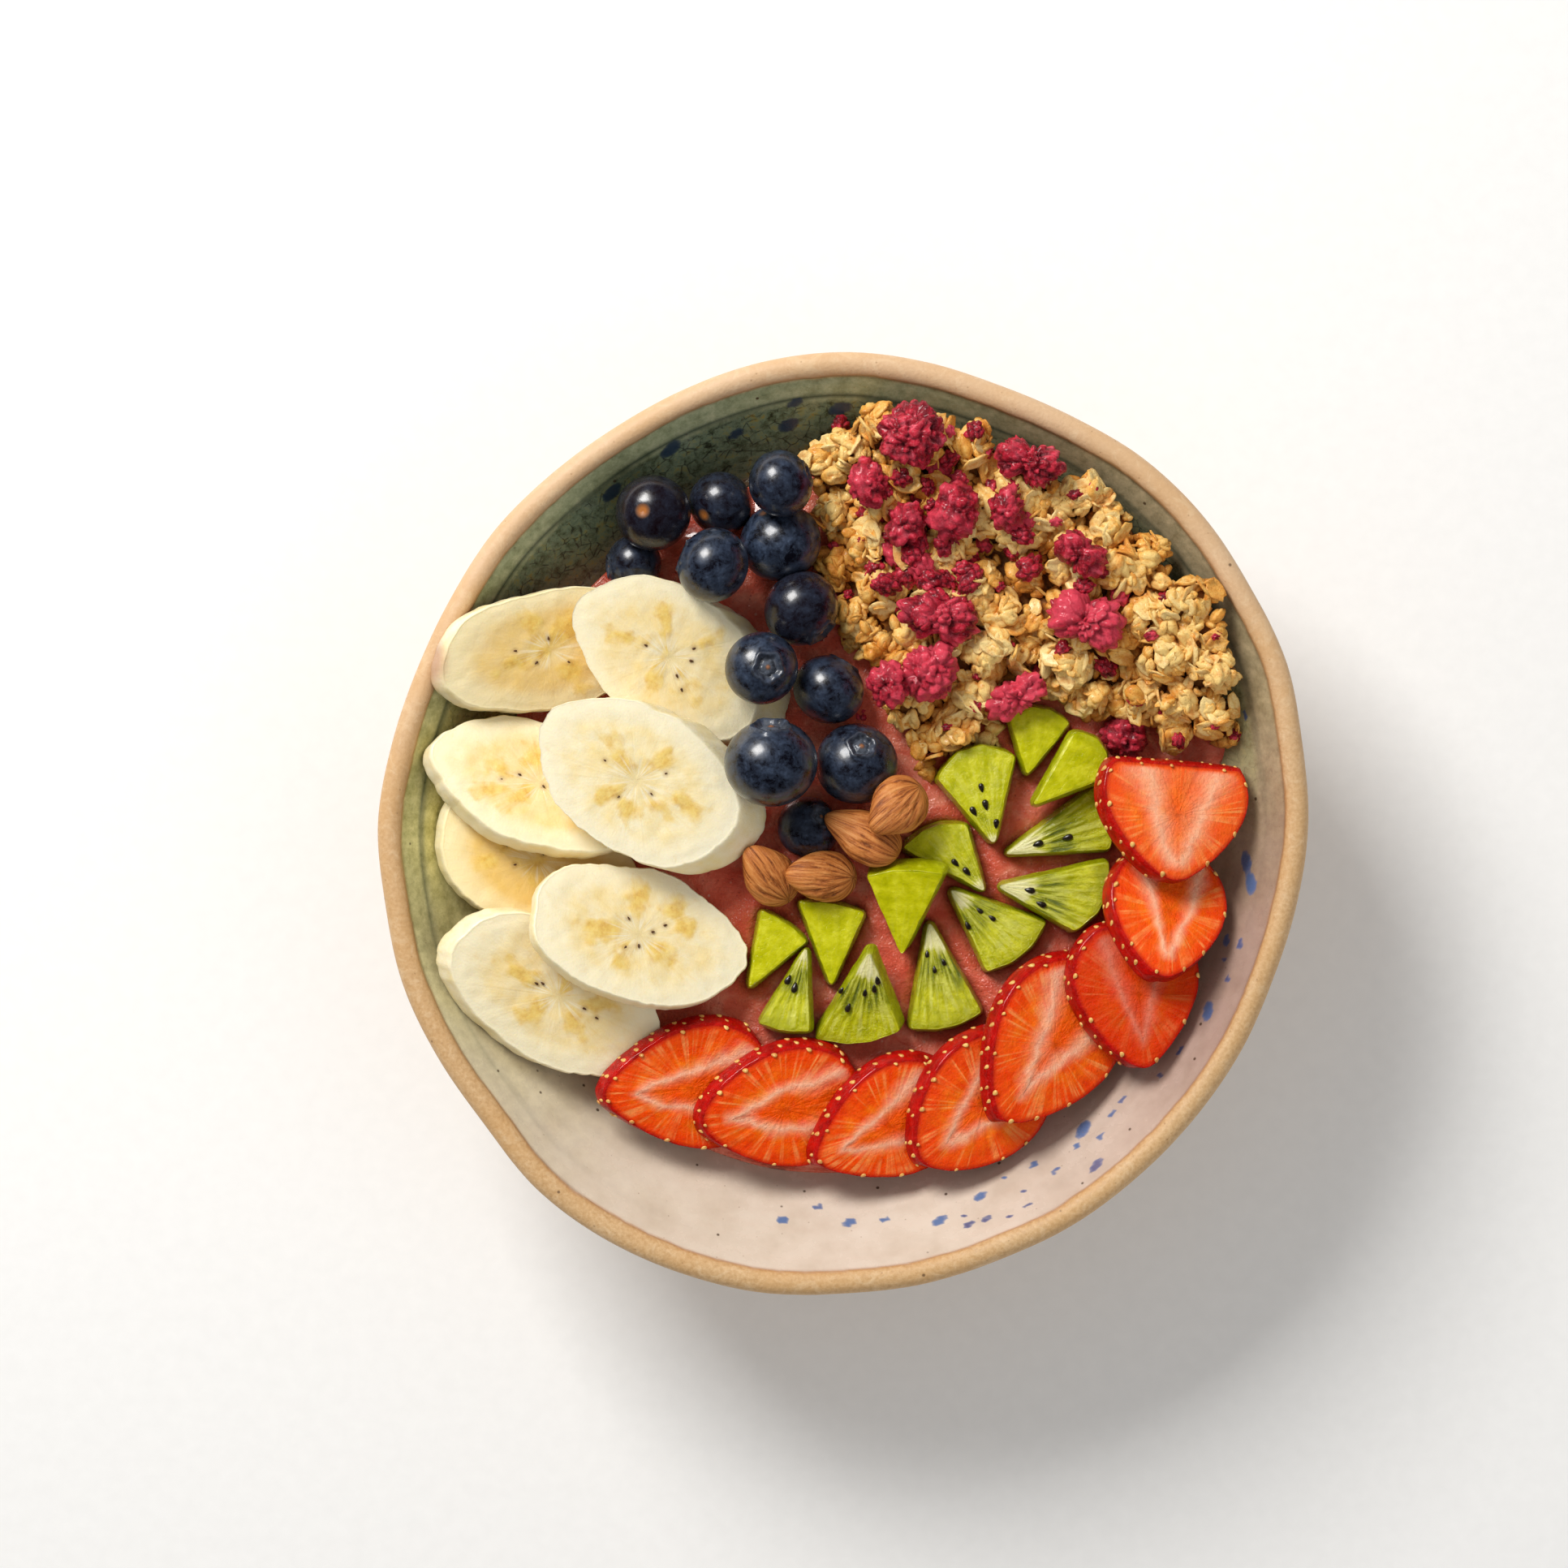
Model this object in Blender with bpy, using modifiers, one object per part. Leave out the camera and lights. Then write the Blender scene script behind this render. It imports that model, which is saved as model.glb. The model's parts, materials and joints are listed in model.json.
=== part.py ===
"""A handmade stoneware bowl of fruit smoothie, topped with sliced fruit, berries, almonds and granola.

Run it with blender --background --python part.py, or from the text editor. The objects are in metres,
+Z up, with the origin on the ground under the middle of the foot. The sizes and places in the tables
are millimetres and degrees, laid out as seen from above, and add_object turns them into metres.
"""

import math
import random

import bmesh
import bpy
import numpy
from mathutils import Matrix, Vector, noise
from mathutils.bvhtree import BVHTree

MM = 0.001
GAP = 0.3
SHARP_ANGLE = 35

# How a piece finds its rest: the grids of the rough and the last look, the ways it may lean to, the
# smallest change of slope and of height that count, and the lift that frees it from a last touch.
ROUGH_GRID = 2.5
FINE_GRID = 0.8
LEAN_WAYS = 12
LEAST_LEAN = 0.02
LEAST_DROP = 0.02
FREEING_LIFT = 0.05
TOUCH_SHARE = 0.7
FAR = 500
# The shortest edge that is kept where bodies are fused.
SCRAP = 0.002
# The steepest slope that a piece of each kind may lie at.
STEEPEST = {"banana": 0.55, "kiwi": 0.35, "strawberry": 0.45, "blueberry": 0.0, "almond": 0.5, "raspberry": 0.45}

# The bowl.
HEIGHT = 62.0
LIP_HEIGHT = 59.5
RIM_RADIUS = 100.0
INNER_RIM_RADIUS = 94.8
FOOT_RADIUS = 40.0
FOOT_WIDTH = 5.0
FOOT_HEIGHT = 7.2
FOOT_RECESS = 3.0
FOOT_ROUNDING = 0.8
FOOT_FLARE = 0.6
FOOT_DRAFT = 1.2
FLOOR_TOP = 8.5
OUTER_BASE = 1.0
INNER_CURVE = 0.45
OUTER_CURVE = 0.40
BOWL_STEPS = 48
SMOOTHIE_TOP = 44.3
SMOOTHIE_EDGE_GAP = 0.4
WALL_LEVELS = (9.2, 12.0, 18.5, 30.0, SMOOTHIE_TOP, 53.0)
OUTER_LEVELS = (51.0, 38.0, 24.0, 12.5)
# How far the thrown rim swells out, every 10 degrees from +X round towards +Y.
RIM_SWELL = (
    (0.1, 0.3, 1.6, 1.4, 2.0, 1.9, 0.7, 0.2, 1.1, 1.7, 1.0, -0.4)
    + (-1.7, -2.1, -2.1, -2.8, -2.7, -1.5, 0.1, 0.0, 0.9, 0.7, 0.8, 2.8)
    + (3.3, 3.1, 2.7, 1.3, 0.7, -0.2, -0.4, -1.0, -1.3, -1.4, -1.7, -0.9)
)
# How far the rim rises and falls, twice round, and where it is highest.
RIM_WAVE = 0.7
RIM_WAVE_TURN = 0.7
SWELL_POWER = 2.0

# Banana slices, each an oblique cut: x, y, heading, half length, half width, then how far the underside
# lies off along the heading and across it.
BANANA_THICK = 6.0
BANANA_SIDES = 24
# The blunt ridges of the peeled fruit: how many go round, and their height as a share of the radius.
BANANA_RIDGES = ((5, 0.022), (3, 0.012))
# Down the side of a slice: the share of its depth, and how far it swells out there.
BANANA_LEVELS = ((0, -0.5), (0.1, 0), (0.9, 0.1), (1, -0.5))
BANANAS = {
    "banana_slice_1": (-63.0, 37.4, 8.0, 25.0, 13.2, -1.0, -1.0),
    "banana_slice_2": (-37.6, 35.9, -34.0, 23.4, 15.0, 8.5, 2.2),
    "banana_slice_3": (-65.0, 8.7, -18.0, 23.6, 13.6, -1.0, -0.5),
    "banana_slice_4": (-44.2, 9.2, -31.0, 23.8, 15.8, 7.5, 2.5),
    "banana_slice_5": (-66.0, -8.0, -22.0, 22.6, 15.0, -1.0, 0.0),
    "banana_slice_6": (-43.9, -23.8, -12.0, 25.2, 14.8, 1.0, 0.5),
    "banana_slice_7": (-61.3, -37.2, -33.0, 25.8, 14.8, -2.0, -1.5),
}

BLUEBERRY_SIDES = 12
BLUEBERRY_RINGS = 7
# The sunken crown at the top, as shares of the radius, and how far the berry is flattened.
CROWN_DEPTH = 0.22
CROWN_WIDTH = 0.88
CROWN_LIP = 0.03
BLUEBERRY_HEIGHT = 0.93
# Blueberries: x, y, radius, then the way the crown points: its bearing, and its lean from upright.
BLUEBERRIES = {
    "blueberry_1": (-41.0, 67.0, 7.9, 0.0, 165.0),
    "blueberry_2": (-26.5, 69.5, 6.8, 38.0, 135.0),
    "blueberry_3": (-13.5, 73.0, 7.0, 20.0, 80.0),
    "blueberry_4": (-13.5, 61.0, 8.5, 300.0, 120.0),
    "blueberry_5": (-28.0, 55.5, 7.8, 160.0, 85.0),
    "blueberry_6": (-45.3, 56.3, 6.2, 185.0, 80.0),
    "blueberry_7": (-9.0, 46.5, 8.0, 310.0, 75.0),
    "blueberry_8": (-17.5, 33.5, 7.6, 0.0, 12.0),
    "blueberry_9": (-3.0, 29.0, 7.6, 60.0, 95.0),
    "blueberry_10": (-15.5, 13.0, 9.6, 90.0, 68.0),
    "blueberry_11": (3.0, 13.0, 8.6, 75.0, 31.0),
    "blueberry_12": (-7.5, -1.0, 6.2, 41.0, 42.0),
}

ALMOND_THICK = 7.5
ALMOND_SIDES = 12
ALMOND_RINGS = 6
ALMOND_TAPER = 0.26
ALMOND_POINT = 0.16
# Almonds: x, y, heading of the pointed end, length, width.
ALMONDS = {
    "almond_1": (11.3, 3.2, 221.0, 16.5, 12.5),
    "almond_2": (4.3, -2.4, 153.0, 19.0, 12.1),
    "almond_3": (-16.3, -10.8, 127.0, 17.8, 11.4),
    "almond_4": (-5.1, -11.4, 178.0, 18.8, 11.2),
}

KIWI_TIP_CUT = 0.05
KIWI_ARC = (0, 0.1, 0.35, 0.65, 0.9, 1)
KIWI_LEVELS = ((0, -0.3), (0.07, 0), (1, 0.6))
# Kiwi wedges: the tip, the two outer corners anticlockwise, the bulge of the outer edge, the thickness.
KIWIS = {
    "kiwi_wedge_1": ((40.0, 10.0), (49.5, 21.5), (36.0, 23.5), 3.0, 6.5),
    "kiwi_wedge_2": ((40.5, 3.5), (56.6, 9.5), (49.8, 20.0), 4.0, 6.5),
    "kiwi_wedge_3": ((33.0, -5.0), (37.5, 14.5), (20.5, 9.5), 5.0, 7.5),
    "kiwi_wedge_4": ((34.5, -7.0), (58.0, -5.8), (55.0, 8.2), 2.5, 6.0),
    "kiwi_wedge_5": ((33.0, -13.5), (50.0, -23.5), (57.5, -8.0), 3.5, 7.0),
    "kiwi_wedge_6": ((31.3, -15.3), (27.2, -0.4), (13.0, -5.5), 2.5, 6.5),
    "kiwi_wedge_7": ((22.8, -13.8), (31.3, -32.3), (44.3, -21.3), 2.5, 6.0),
    "kiwi_wedge_8": ((12.5, -30.0), (22.0, -10.5), (5.0, -11.5), 1.5, 7.0),
    "kiwi_wedge_9": ((18.7, -20.5), (14.5, -44.5), (30.5, -41.0), 2.0, 6.0),
    "kiwi_wedge_10": ((6.0, -26.5), (-6.4, -47.3), (12.5, -45.0), 2.5, 6.0),
    "kiwi_wedge_11": ((-2.5, -36.0), (5.0, -19.5), (-9.6, -17.0), 1.0, 7.0),
    "kiwi_wedge_12": ((-7.7, -26.2), (-18.4, -43.2), (-7.0, -45.0), 1.0, 5.5),
    "kiwi_wedge_13": ((-20.8, -36.5), (-7.6, -25.8), (-17.8, -19.0), 1.0, 6.5),
}

# Strawberry slices: x and y of the tip, heading of the tip, length, width, how much the tip end tapers,
# and the share of the cap end that is cut off.
STRAWBERRY_THICK = 3.8
STRAWBERRY_FLARE = 1.8
STRAWBERRY_SIDES = 26
# How much the sides bow, and the width that the bow and the taper leave the berry.
STRAWBERRY_BOW = 0.08
STRAWBERRY_FILL = 1.06
STRAWBERRIES = {
    "strawberry_slice_1": (-53.4, -58.6, 183.0, 41.0, 26.6, 0.34, 0.04),
    "strawberry_slice_2": (-32.2, -64.5, 187.0, 40.0, 26.0, 0.22, 0.06),
    "strawberry_slice_3": (-7.1, -73.7, 205.0, 38.0, 24.4, 0.35, 0.04),
    "strawberry_slice_4": (15.9, -74.2, 222.0, 39.5, 26.6, 0.15, 0.05),
    "strawberry_slice_5": (33.1, -65.2, 234.0, 43.0, 28.0, 0.28, 0.03),
    "strawberry_slice_6": (65.3, -54.4, 275.0, 35.5, 26.4, 0.36, 0.05),
    "strawberry_slice_7": (68.0, -35.3, 262.0, 33.5, 25.0, 0.25, 0.05),
    "strawberry_slice_8": (70.7, -14.1, 266.5, 35.0, 30.5, 0.32, 0.20),
}

# The corners of a lobe, which stand out or in as shares of its radius, and what each adds at random.
DRUPELET_TOP = 1.06
DRUPELET_GROOVE = 0.94
DRUPELET_UNEVENNESS = (0.90, 1.08)
# In a piece of two lobes, the first lobe's share of the length, and the second's size beside the first.
TWO_LOBE_SHARE = 0.62
SECOND_LOBE = 0.93
# Freeze-dried raspberry pieces: x, y, heading, length, width, height, number of lobes.
RASPBERRIES = {
    "raspberry_1": (14.5, 83.5, 20.0, 15.0, 14.5, 10.0, 1),
    "raspberry_2": (5.5, 73.5, 100.0, 12.5, 8.0, 7.5, 1),
    "raspberry_3": (39.5, 77.5, 160.0, 16.0, 9.0, 8.0, 2),
    "raspberry_4": (24.0, 67.0, 80.0, 12.5, 11.0, 8.5, 2),
    "raspberry_5": (35.0, 67.5, 95.0, 11.0, 8.0, 7.0, 1),
    "raspberry_6": (13.5, 64.5, 60.0, 11.0, 8.5, 7.5, 1),
    "raspberry_7": (50.5, 57.8, 145.0, 13.0, 8.0, 7.0, 2),
    "raspberry_8": (18.5, 32.5, 50.0, 13.0, 12.5, 9.0, 1),
    "raspberry_9": (52.0, 43.5, 165.0, 18.0, 12.0, 8.5, 2),
    "raspberry_10": (38.0, 27.6, 20.0, 14.5, 8.5, 7.5, 2),
    "raspberry_11": (61.5, 18.5, 170.0, 11.0, 8.5, 7.5, 1),
    "raspberry_12": (9.5, 29.5, 120.0, 11.5, 8.5, 7.0, 1),
    "raspberry_13": (20.5, 44.5, 170.0, 19.0, 10.0, 7.5, 2),
}

# The granola heap: its middle, its two free edges, and its height over the smoothie.
HEAP_MIDDLE = (38.0, 52.0)
LEFT_EDGE_Y = (20.0, 28.0, 36.0, 46.0, 55.0, 62.0, 69.0, 75.0, 80.0, 85.0, 92.0)
LEFT_EDGE_X = (13.0, 9.0, 5.5, 1.5, -2.0, -3.4, -5.6, -5.3, -4.8, -2.0, 4.0)
FRONT_EDGE_X = (10.0, 20.0, 30.0, 36.0, 44.0, 50.0, 58.0, 68.0, 90.0)
FRONT_EDGE_Y = (21.0, 19.5, 21.0, 26.5, 28.5, 26.0, 23.5, 20.5, 19.0)
HEAP_WALL_RADIUS = 87.0
HEAP_WALL_START = 62.0
HEAP_WALL_GAP = 0.9
HEAP_SWELL_SHARE = 0.67
HEAP_EDGE_HEIGHT = 2.2
HEAP_RISE = 7.0
HEAP_SLOPE_WIDTH = 14.0
HEAP_WALL_RISE = 5.0
HEAP_UNEVENNESS = 1.3
HEAP_BUMP = 9.0
HEAP_LEAST_THICK = 1.8
HEAP_REACH_STEP = 0.25
HEAP_STEPS = 30
HEAP_TOP_RINGS = (0.2, 0.42, 0.64, 0.83, 1.0)
HEAP_BASE_RINGS = (0.7, 0.86, 1.0)
SPOT_TRIES = 4000
CLUSTERS = 54
CLUSTER_SPACING = 7.4
CLUSTER_RADII = (4.2, 6.4)
CLUSTER_LIFTS = (1.0, 2.0, 3.0)
LUMP_UNEVENNESS = (0.82, 1.12)
FLAKES = 24
FLAKE_SPACING = 8.0
FLAKE_RADII = (2.6, 3.4)
FLAKE_THICK = 1.1
FLAKE_WIDTH = 0.75
# The cluster that lies ahead of the heap's front edge, and the one that ties it in: x, y, radius.
FRONT_CLUSTERS = [(20.0, 13.6, 4.4), (18.6, 18.2, 4.2)]

COLOURS = {
    "stoneware": (0.66, 0.50, 0.34),
    "smoothie": (0.56, 0.16, 0.15),
    "banana": (0.90, 0.78, 0.50),
    "blueberry": (0.035, 0.045, 0.085),
    "almond": (0.44, 0.17, 0.06),
    "kiwi": (0.45, 0.52, 0.05),
    "strawberry": (0.80, 0.13, 0.03),
    "granola": (0.68, 0.42, 0.15),
    "raspberry": (0.45, 0.04, 0.07),
}
ROUGHNESS = {
    "stoneware": 0.55,
    "smoothie": 0.25,
    "banana": 0.45,
    "blueberry": 0.40,
    "almond": 0.60,
    "kiwi": 0.30,
    "strawberry": 0.30,
    "granola": 0.80,
    "raspberry": 0.75,
}


class Pile:
    """All that lies in the bowl so far, as triangles that the next piece comes to rest on."""

    def __init__(self):
        self.points = []
        self.triangles = []
        self.tree = None

    def add(self, mesh, place):
        first = len(self.points)
        points, triangles = solid_of(mesh, place)
        self.points += points
        self.triangles += [[first + corner for corner in triangle] for triangle in triangles]
        self.tree = BVHTree.FromPolygons(self.points, self.triangles, all_triangles=True)


def solid_of(mesh, place):
    mesh.calc_loop_triangles()
    points = [place @ vertex.co for vertex in mesh.vertices]
    return points, [list(triangle.vertices) for triangle in mesh.loop_triangles]


def tree_of(mesh, place):
    points, triangles = solid_of(mesh, place)
    return BVHTree.FromPolygons(points, triangles, all_triangles=True), points


def smooth(share):
    share = min(max(share, 0.0), 1.0)
    return share * share * (3 - 2 * share)


def mesh_from(shape):
    """A mesh made from a bmesh, in millimetres."""
    shape.normal_update()
    bmesh.ops.recalc_face_normals(shape, faces=shape.faces)
    mesh = bpy.data.meshes.new("shape")
    shape.to_mesh(mesh)
    shape.free()
    return mesh


def make_material(name):
    material = bpy.data.materials.new(name)
    material.use_nodes = True
    shader = material.node_tree.nodes["Principled BSDF"]
    shader.inputs["Base Color"].default_value = (*COLOURS[name], 1)
    shader.inputs["Roughness"].default_value = ROUGHNESS[name]
    return material


def add_object(name, mesh, place, colour):
    """The mesh as a named object in metres, with its own material."""
    mesh.name = name
    mesh.transform(Matrix.Scale(MM, 4))
    mesh.shade_smooth()
    mesh.set_sharp_from_angle(angle=math.radians(SHARP_ANGLE))
    piece = bpy.data.objects.new(name, mesh)
    piece.matrix_world = Matrix.Translation(place.translation * MM) @ place.to_3x3().to_4x4()
    mesh.materials.append(make_material(colour))
    mesh.materials[0].name = f"{name}_{colour}"
    collection.objects.link(piece)


def evaluated_mesh(holder):
    """The mesh of an object after its modifiers, with the object removed."""
    scratch.objects.link(holder)
    graph = bpy.context.evaluated_depsgraph_get()
    mesh = bpy.data.meshes.new_from_object(holder.evaluated_get(graph))
    bpy.data.objects.remove(holder)
    return mesh


def loft(rings):
    """A closed body through rings of points, the top ring first, each anticlockwise from above."""
    shape = bmesh.new()
    layers = [[shape.verts.new(point) for point in ring] for ring in rings]
    for upper, lower in zip(layers, layers[1:]):
        for here in range(len(upper)):
            after = (here + 1) % len(upper)
            shape.faces.new((upper[here], lower[here], lower[after], upper[after]))
    shape.faces.new(layers[0])
    shape.faces.new(reversed(layers[-1]))
    return shape


def grown(outline, swell):
    """The outline moved outwards along its own normals."""
    moved = []
    for before, here, after in zip(outline[-1:] + outline[:-1], outline, outline[1:] + outline[:1]):
        along = (Vector(after) - Vector(before)).normalized()
        moved.append((here[0] + swell * along.y, here[1] - swell * along.x))
    return moved


def slab(outline, thick, levels, shift=(0.0, 0.0)):
    """A slice whose cut top is the outline at z = 0. A level is a share of the depth and a swell."""
    rings = []
    for depth, swell in levels:
        ring = grown(outline, swell)
        rings.append([(x + shift[0] * depth, y + shift[1] * depth, -thick * depth) for x, y in ring])
    return mesh_from(loft(rings))


def turned(profile):
    """A profile of radius and height turned round the Z axis, then left as uneven as hand throwing."""
    line = bpy.data.meshes.new("profile")
    edges = [(point, point + 1) for point in range(len(profile) - 1)]
    line.from_pydata([(radius, 0, height) for radius, height in profile], edges, [])
    holder = bpy.data.objects.new("turned", line)
    screw = holder.modifiers.new("turn", "SCREW")
    screw.steps = BOWL_STEPS
    screw.render_steps = BOWL_STEPS
    screw.use_merge_vertices = True
    screw.merge_threshold = 0.0001
    mesh = evaluated_mesh(holder)
    for vertex in mesh.vertices:
        vertex.co = thrown(vertex.co)
    shape = bmesh.new()
    shape.from_mesh(mesh)
    return mesh_from(shape)


def rim_swell(angle):
    """How far the rim stands out at an angle, on a smooth closed curve through RIM_SWELL."""
    count = len(RIM_SWELL)
    place = (angle / math.tau * count) % count
    here = int(place)
    share = place - here
    before, start, end, after = (RIM_SWELL[(here + step) % count] for step in (-1, 0, 1, 2))
    bend = 2 * before - 5 * start + 4 * end - after
    twist = 3 * (start - end) + after - before
    return start + 0.5 * share * (end - before + share * (bend + share * twist))


def thrown(point):
    """A point of the turned bowl moved to its place in the uneven, hand-thrown one."""
    angle = math.atan2(point.y, point.x)
    spread = 1 + rim_swell(angle) / RIM_RADIUS * max(point.z / HEIGHT, 0) ** SWELL_POWER
    lift = RIM_WAVE * smooth((point.z - SMOOTHIE_TOP) / (HEIGHT - SMOOTHIE_TOP)) * math.cos(2 * angle - RIM_WAVE_TURN)
    return Vector((point.x * spread, point.y * spread, point.z + lift))


def inner_radius(height):
    share = (height - FLOOR_TOP) / (LIP_HEIGHT - FLOOR_TOP)
    return INNER_RIM_RADIUS * max(share, 0) ** INNER_CURVE


def inner_height(radius):
    return FLOOR_TOP + (LIP_HEIGHT - FLOOR_TOP) * (radius / INNER_RIM_RADIUS) ** (1 / INNER_CURVE)


def outer_radius(height):
    return RIM_RADIUS * ((height - OUTER_BASE) / (LIP_HEIGHT - OUTER_BASE)) ** OUTER_CURVE


def lip_point(turn):
    """A point of the rounded lip: at 0 on its outside, at a quarter turn on its crest, at a half inside."""
    middle = (RIM_RADIUS + INNER_RIM_RADIUS) / 2
    half = (RIM_RADIUS - INNER_RIM_RADIUS) / 2
    return (middle + half * math.cos(turn), LIP_HEIGHT + (HEIGHT - LIP_HEIGHT) * math.sin(turn))


def bowl_profile():
    """Runs from the crest of the lip down the outside, round the foot ring, up the inside, to the crest."""
    outer_lip = [lip_point(turn) for turn in (math.pi / 2, math.pi / 4, 0)]
    outside = [(outer_radius(height), height) for height in OUTER_LEVELS]
    foot = [
        (FOOT_RADIUS + FOOT_FLARE, FOOT_HEIGHT),
        (FOOT_RADIUS, FOOT_ROUNDING),
        (FOOT_RADIUS - FOOT_ROUNDING, 0),
        (FOOT_RADIUS - FOOT_WIDTH, 0),
        (FOOT_RADIUS - FOOT_WIDTH - FOOT_DRAFT, FOOT_RECESS),
        (0, FOOT_RECESS),
    ]
    inside = [(0, FLOOR_TOP)] + [(inner_radius(height), height) for height in WALL_LEVELS]
    inner_lip = [lip_point(turn) for turn in (math.pi, math.pi * 3 / 4, math.pi / 2)]
    return outer_lip + outside + foot + inside + inner_lip


def build_bowl(pile):
    mesh = turned(bowl_profile())
    pile.add(mesh, Matrix())
    add_object("bowl", mesh, Matrix(), "stoneware")


def build_smoothie(pile):
    """The smoothie fills the bowl up to its level, a hair clear of the clay."""
    side = []
    for height in WALL_LEVELS:
        if height < SMOOTHIE_TOP:
            slope = math.atan2(1, inner_radius(height + 0.5) - inner_radius(height - 0.5))
            side.append((inner_radius(height) - GAP * math.sin(slope), height + GAP * math.cos(slope)))
    side.append((inner_radius(SMOOTHIE_TOP) - SMOOTHIE_EDGE_GAP, SMOOTHIE_TOP))
    mesh = turned([(0, FLOOR_TOP + GAP)] + side + [(0, SMOOTHIE_TOP)])
    pile.add(mesh, Matrix())
    add_object("smoothie", mesh, Matrix(), "smoothie")


def posed(x, y, height, slope, turn):
    """Where a piece stands: turned, then tilted to a slope of rise along x and y, then moved."""
    tilt = Vector((0, 0, 1)).rotation_difference(Vector((-slope.x, -slope.y, 1))).to_matrix().to_4x4()
    return Matrix.Translation((x, y, height)) @ tilt @ turn


def clearances(mesh, place, pile, grid):
    """The free heights under the piece, at its corners and on a grid, seen straight from above."""
    tree, points = tree_of(mesh, place)
    low_x, high_x = min(p.x for p in points), max(p.x for p in points)
    low_y, high_y = min(p.y for p in points), max(p.y for p in points)
    spots = [(p.x, p.y) for p in points]
    for x in numpy.arange(low_x, high_x, grid):
        spots += [(x, y) for y in numpy.arange(low_y, high_y, grid)]
    free = []
    for x, y in spots:
        under = tree.ray_cast(Vector((x, y, -FAR)), Vector((0, 0, 1)))[0]
        floor = pile.tree.ray_cast(Vector((x, y, FAR)), Vector((0, 0, -1)))[0]
        if under and floor:
            free.append(under.z - floor.z)
    return free


def settle(mesh, x, y, turn, pile, steepest):
    """Lets a piece down on the pile, tilted so that its middle lies as low as it can."""

    def rest_height(slope, grid):
        return GAP - min(clearances(mesh, posed(x, y, 0, slope, turn), pile, grid))

    slope = Vector((0, 0))
    height = rest_height(slope, ROUGH_GRID)
    stride = steepest / 2
    while stride > LEAST_LEAN:
        for angle in numpy.arange(0, math.tau, math.tau / LEAN_WAYS):
            trial = slope + Vector((math.cos(angle), math.sin(angle))) * stride
            lower = rest_height(trial, ROUGH_GRID) if trial.length <= steepest else height
            if lower < height - LEAST_DROP:
                slope = trial
                height = lower
                break
        else:
            stride /= 2
    height = rest_height(slope, FINE_GRID)
    while pile.tree.overlap(tree_of(mesh, posed(x, y, height - GAP * TOUCH_SHARE, slope, turn))[0]):
        height += FREEING_LIFT
    return posed(x, y, height, slope, turn)


def lay(name, mesh, x, y, turn, kind, pile):
    """Settles a piece on the pile, adds it there and makes its object."""
    place = settle(mesh, x, y, turn, pile, STEEPEST[kind])
    pile.add(mesh, place)
    add_object(name, mesh, place, kind)


def heading_turn(degrees):
    return Matrix.Rotation(math.radians(degrees), 4, "Z")


def banana_outline(half_length, half_width, seed):
    """An oblique cut through a banana: an oval with the fruit's blunt ridges."""
    outline = []
    for step in range(BANANA_SIDES):
        angle = math.tau * step / BANANA_SIDES
        ridge = 1 + sum(height * math.cos(count * angle + seed) for count, height in BANANA_RIDGES)
        outline.append((half_length * ridge * math.cos(angle), half_width * ridge * math.sin(angle)))
    return outline


def build_banana(name, pile):
    x, y, heading, half_length, half_width, shift_along, shift_across = BANANAS[name]
    outline = banana_outline(half_length, half_width, int(name[-1]))
    mesh = slab(outline, BANANA_THICK, BANANA_LEVELS, (shift_along, shift_across))
    lay(name, mesh, x, y, heading_turn(heading), "banana", pile)


def build_kiwi(name, pile):
    """A wedge cut from a round slice, with a blunt tip and a curved outer edge."""
    tip, first, second, bulge, thick = KIWIS[name]
    tip, first, second = Vector(tip), Vector(first), Vector(second)
    middle = (tip + first + second) / 3
    outer = (second - first).normalized()
    outward = Vector((outer.y, -outer.x))
    outline = [tip.lerp(second, KIWI_TIP_CUT), tip.lerp(first, KIWI_TIP_CUT)]
    for share in KIWI_ARC:
        outline.append(first.lerp(second, share) + outward * bulge * (1 - (2 * share - 1) ** 2))
    outline = [tuple(point - middle) for point in outline]
    mesh = slab(outline, thick, KIWI_LEVELS)
    lay(name, mesh, middle.x, middle.y, Matrix(), "kiwi", pile)


def strawberry_outline(length, width, taper, cut):
    """A berry cut lengthwise, with its tip at +X: an egg drawn out to the tip, cut across at the cap."""
    flat = length * (cut - 0.5)
    outline = []
    for step in range(STRAWBERRY_SIDES):
        angle = math.tau * step / STRAWBERRY_SIDES
        x = length / 2 * math.cos(angle)
        narrowing = 1 - taper * math.cos(angle) - STRAWBERRY_BOW * math.cos(2 * angle)
        y = width / 2 * STRAWBERRY_FILL * math.sin(angle) * narrowing
        outline.append((max(x, flat + (x + length / 2) / STRAWBERRY_SIDES), y))
    return outline


def build_strawberry(name, pile):
    tip_x, tip_y, heading, length, width, taper, cut = STRAWBERRIES[name]
    turn = heading_turn(heading)
    middle = Vector((tip_x, tip_y, 0)) - turn @ Vector((length / 2, 0, 0))
    outline = strawberry_outline(length - 2 * STRAWBERRY_FLARE, width - 2 * STRAWBERRY_FLARE, taper, cut)
    levels = ((0, 0), (0.45, STRAWBERRY_FLARE * 0.7), (1, STRAWBERRY_FLARE))
    mesh = slab(outline, STRAWBERRY_THICK, levels)
    lay(name, mesh, middle.x, middle.y, turn, "strawberry", pile)


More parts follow.
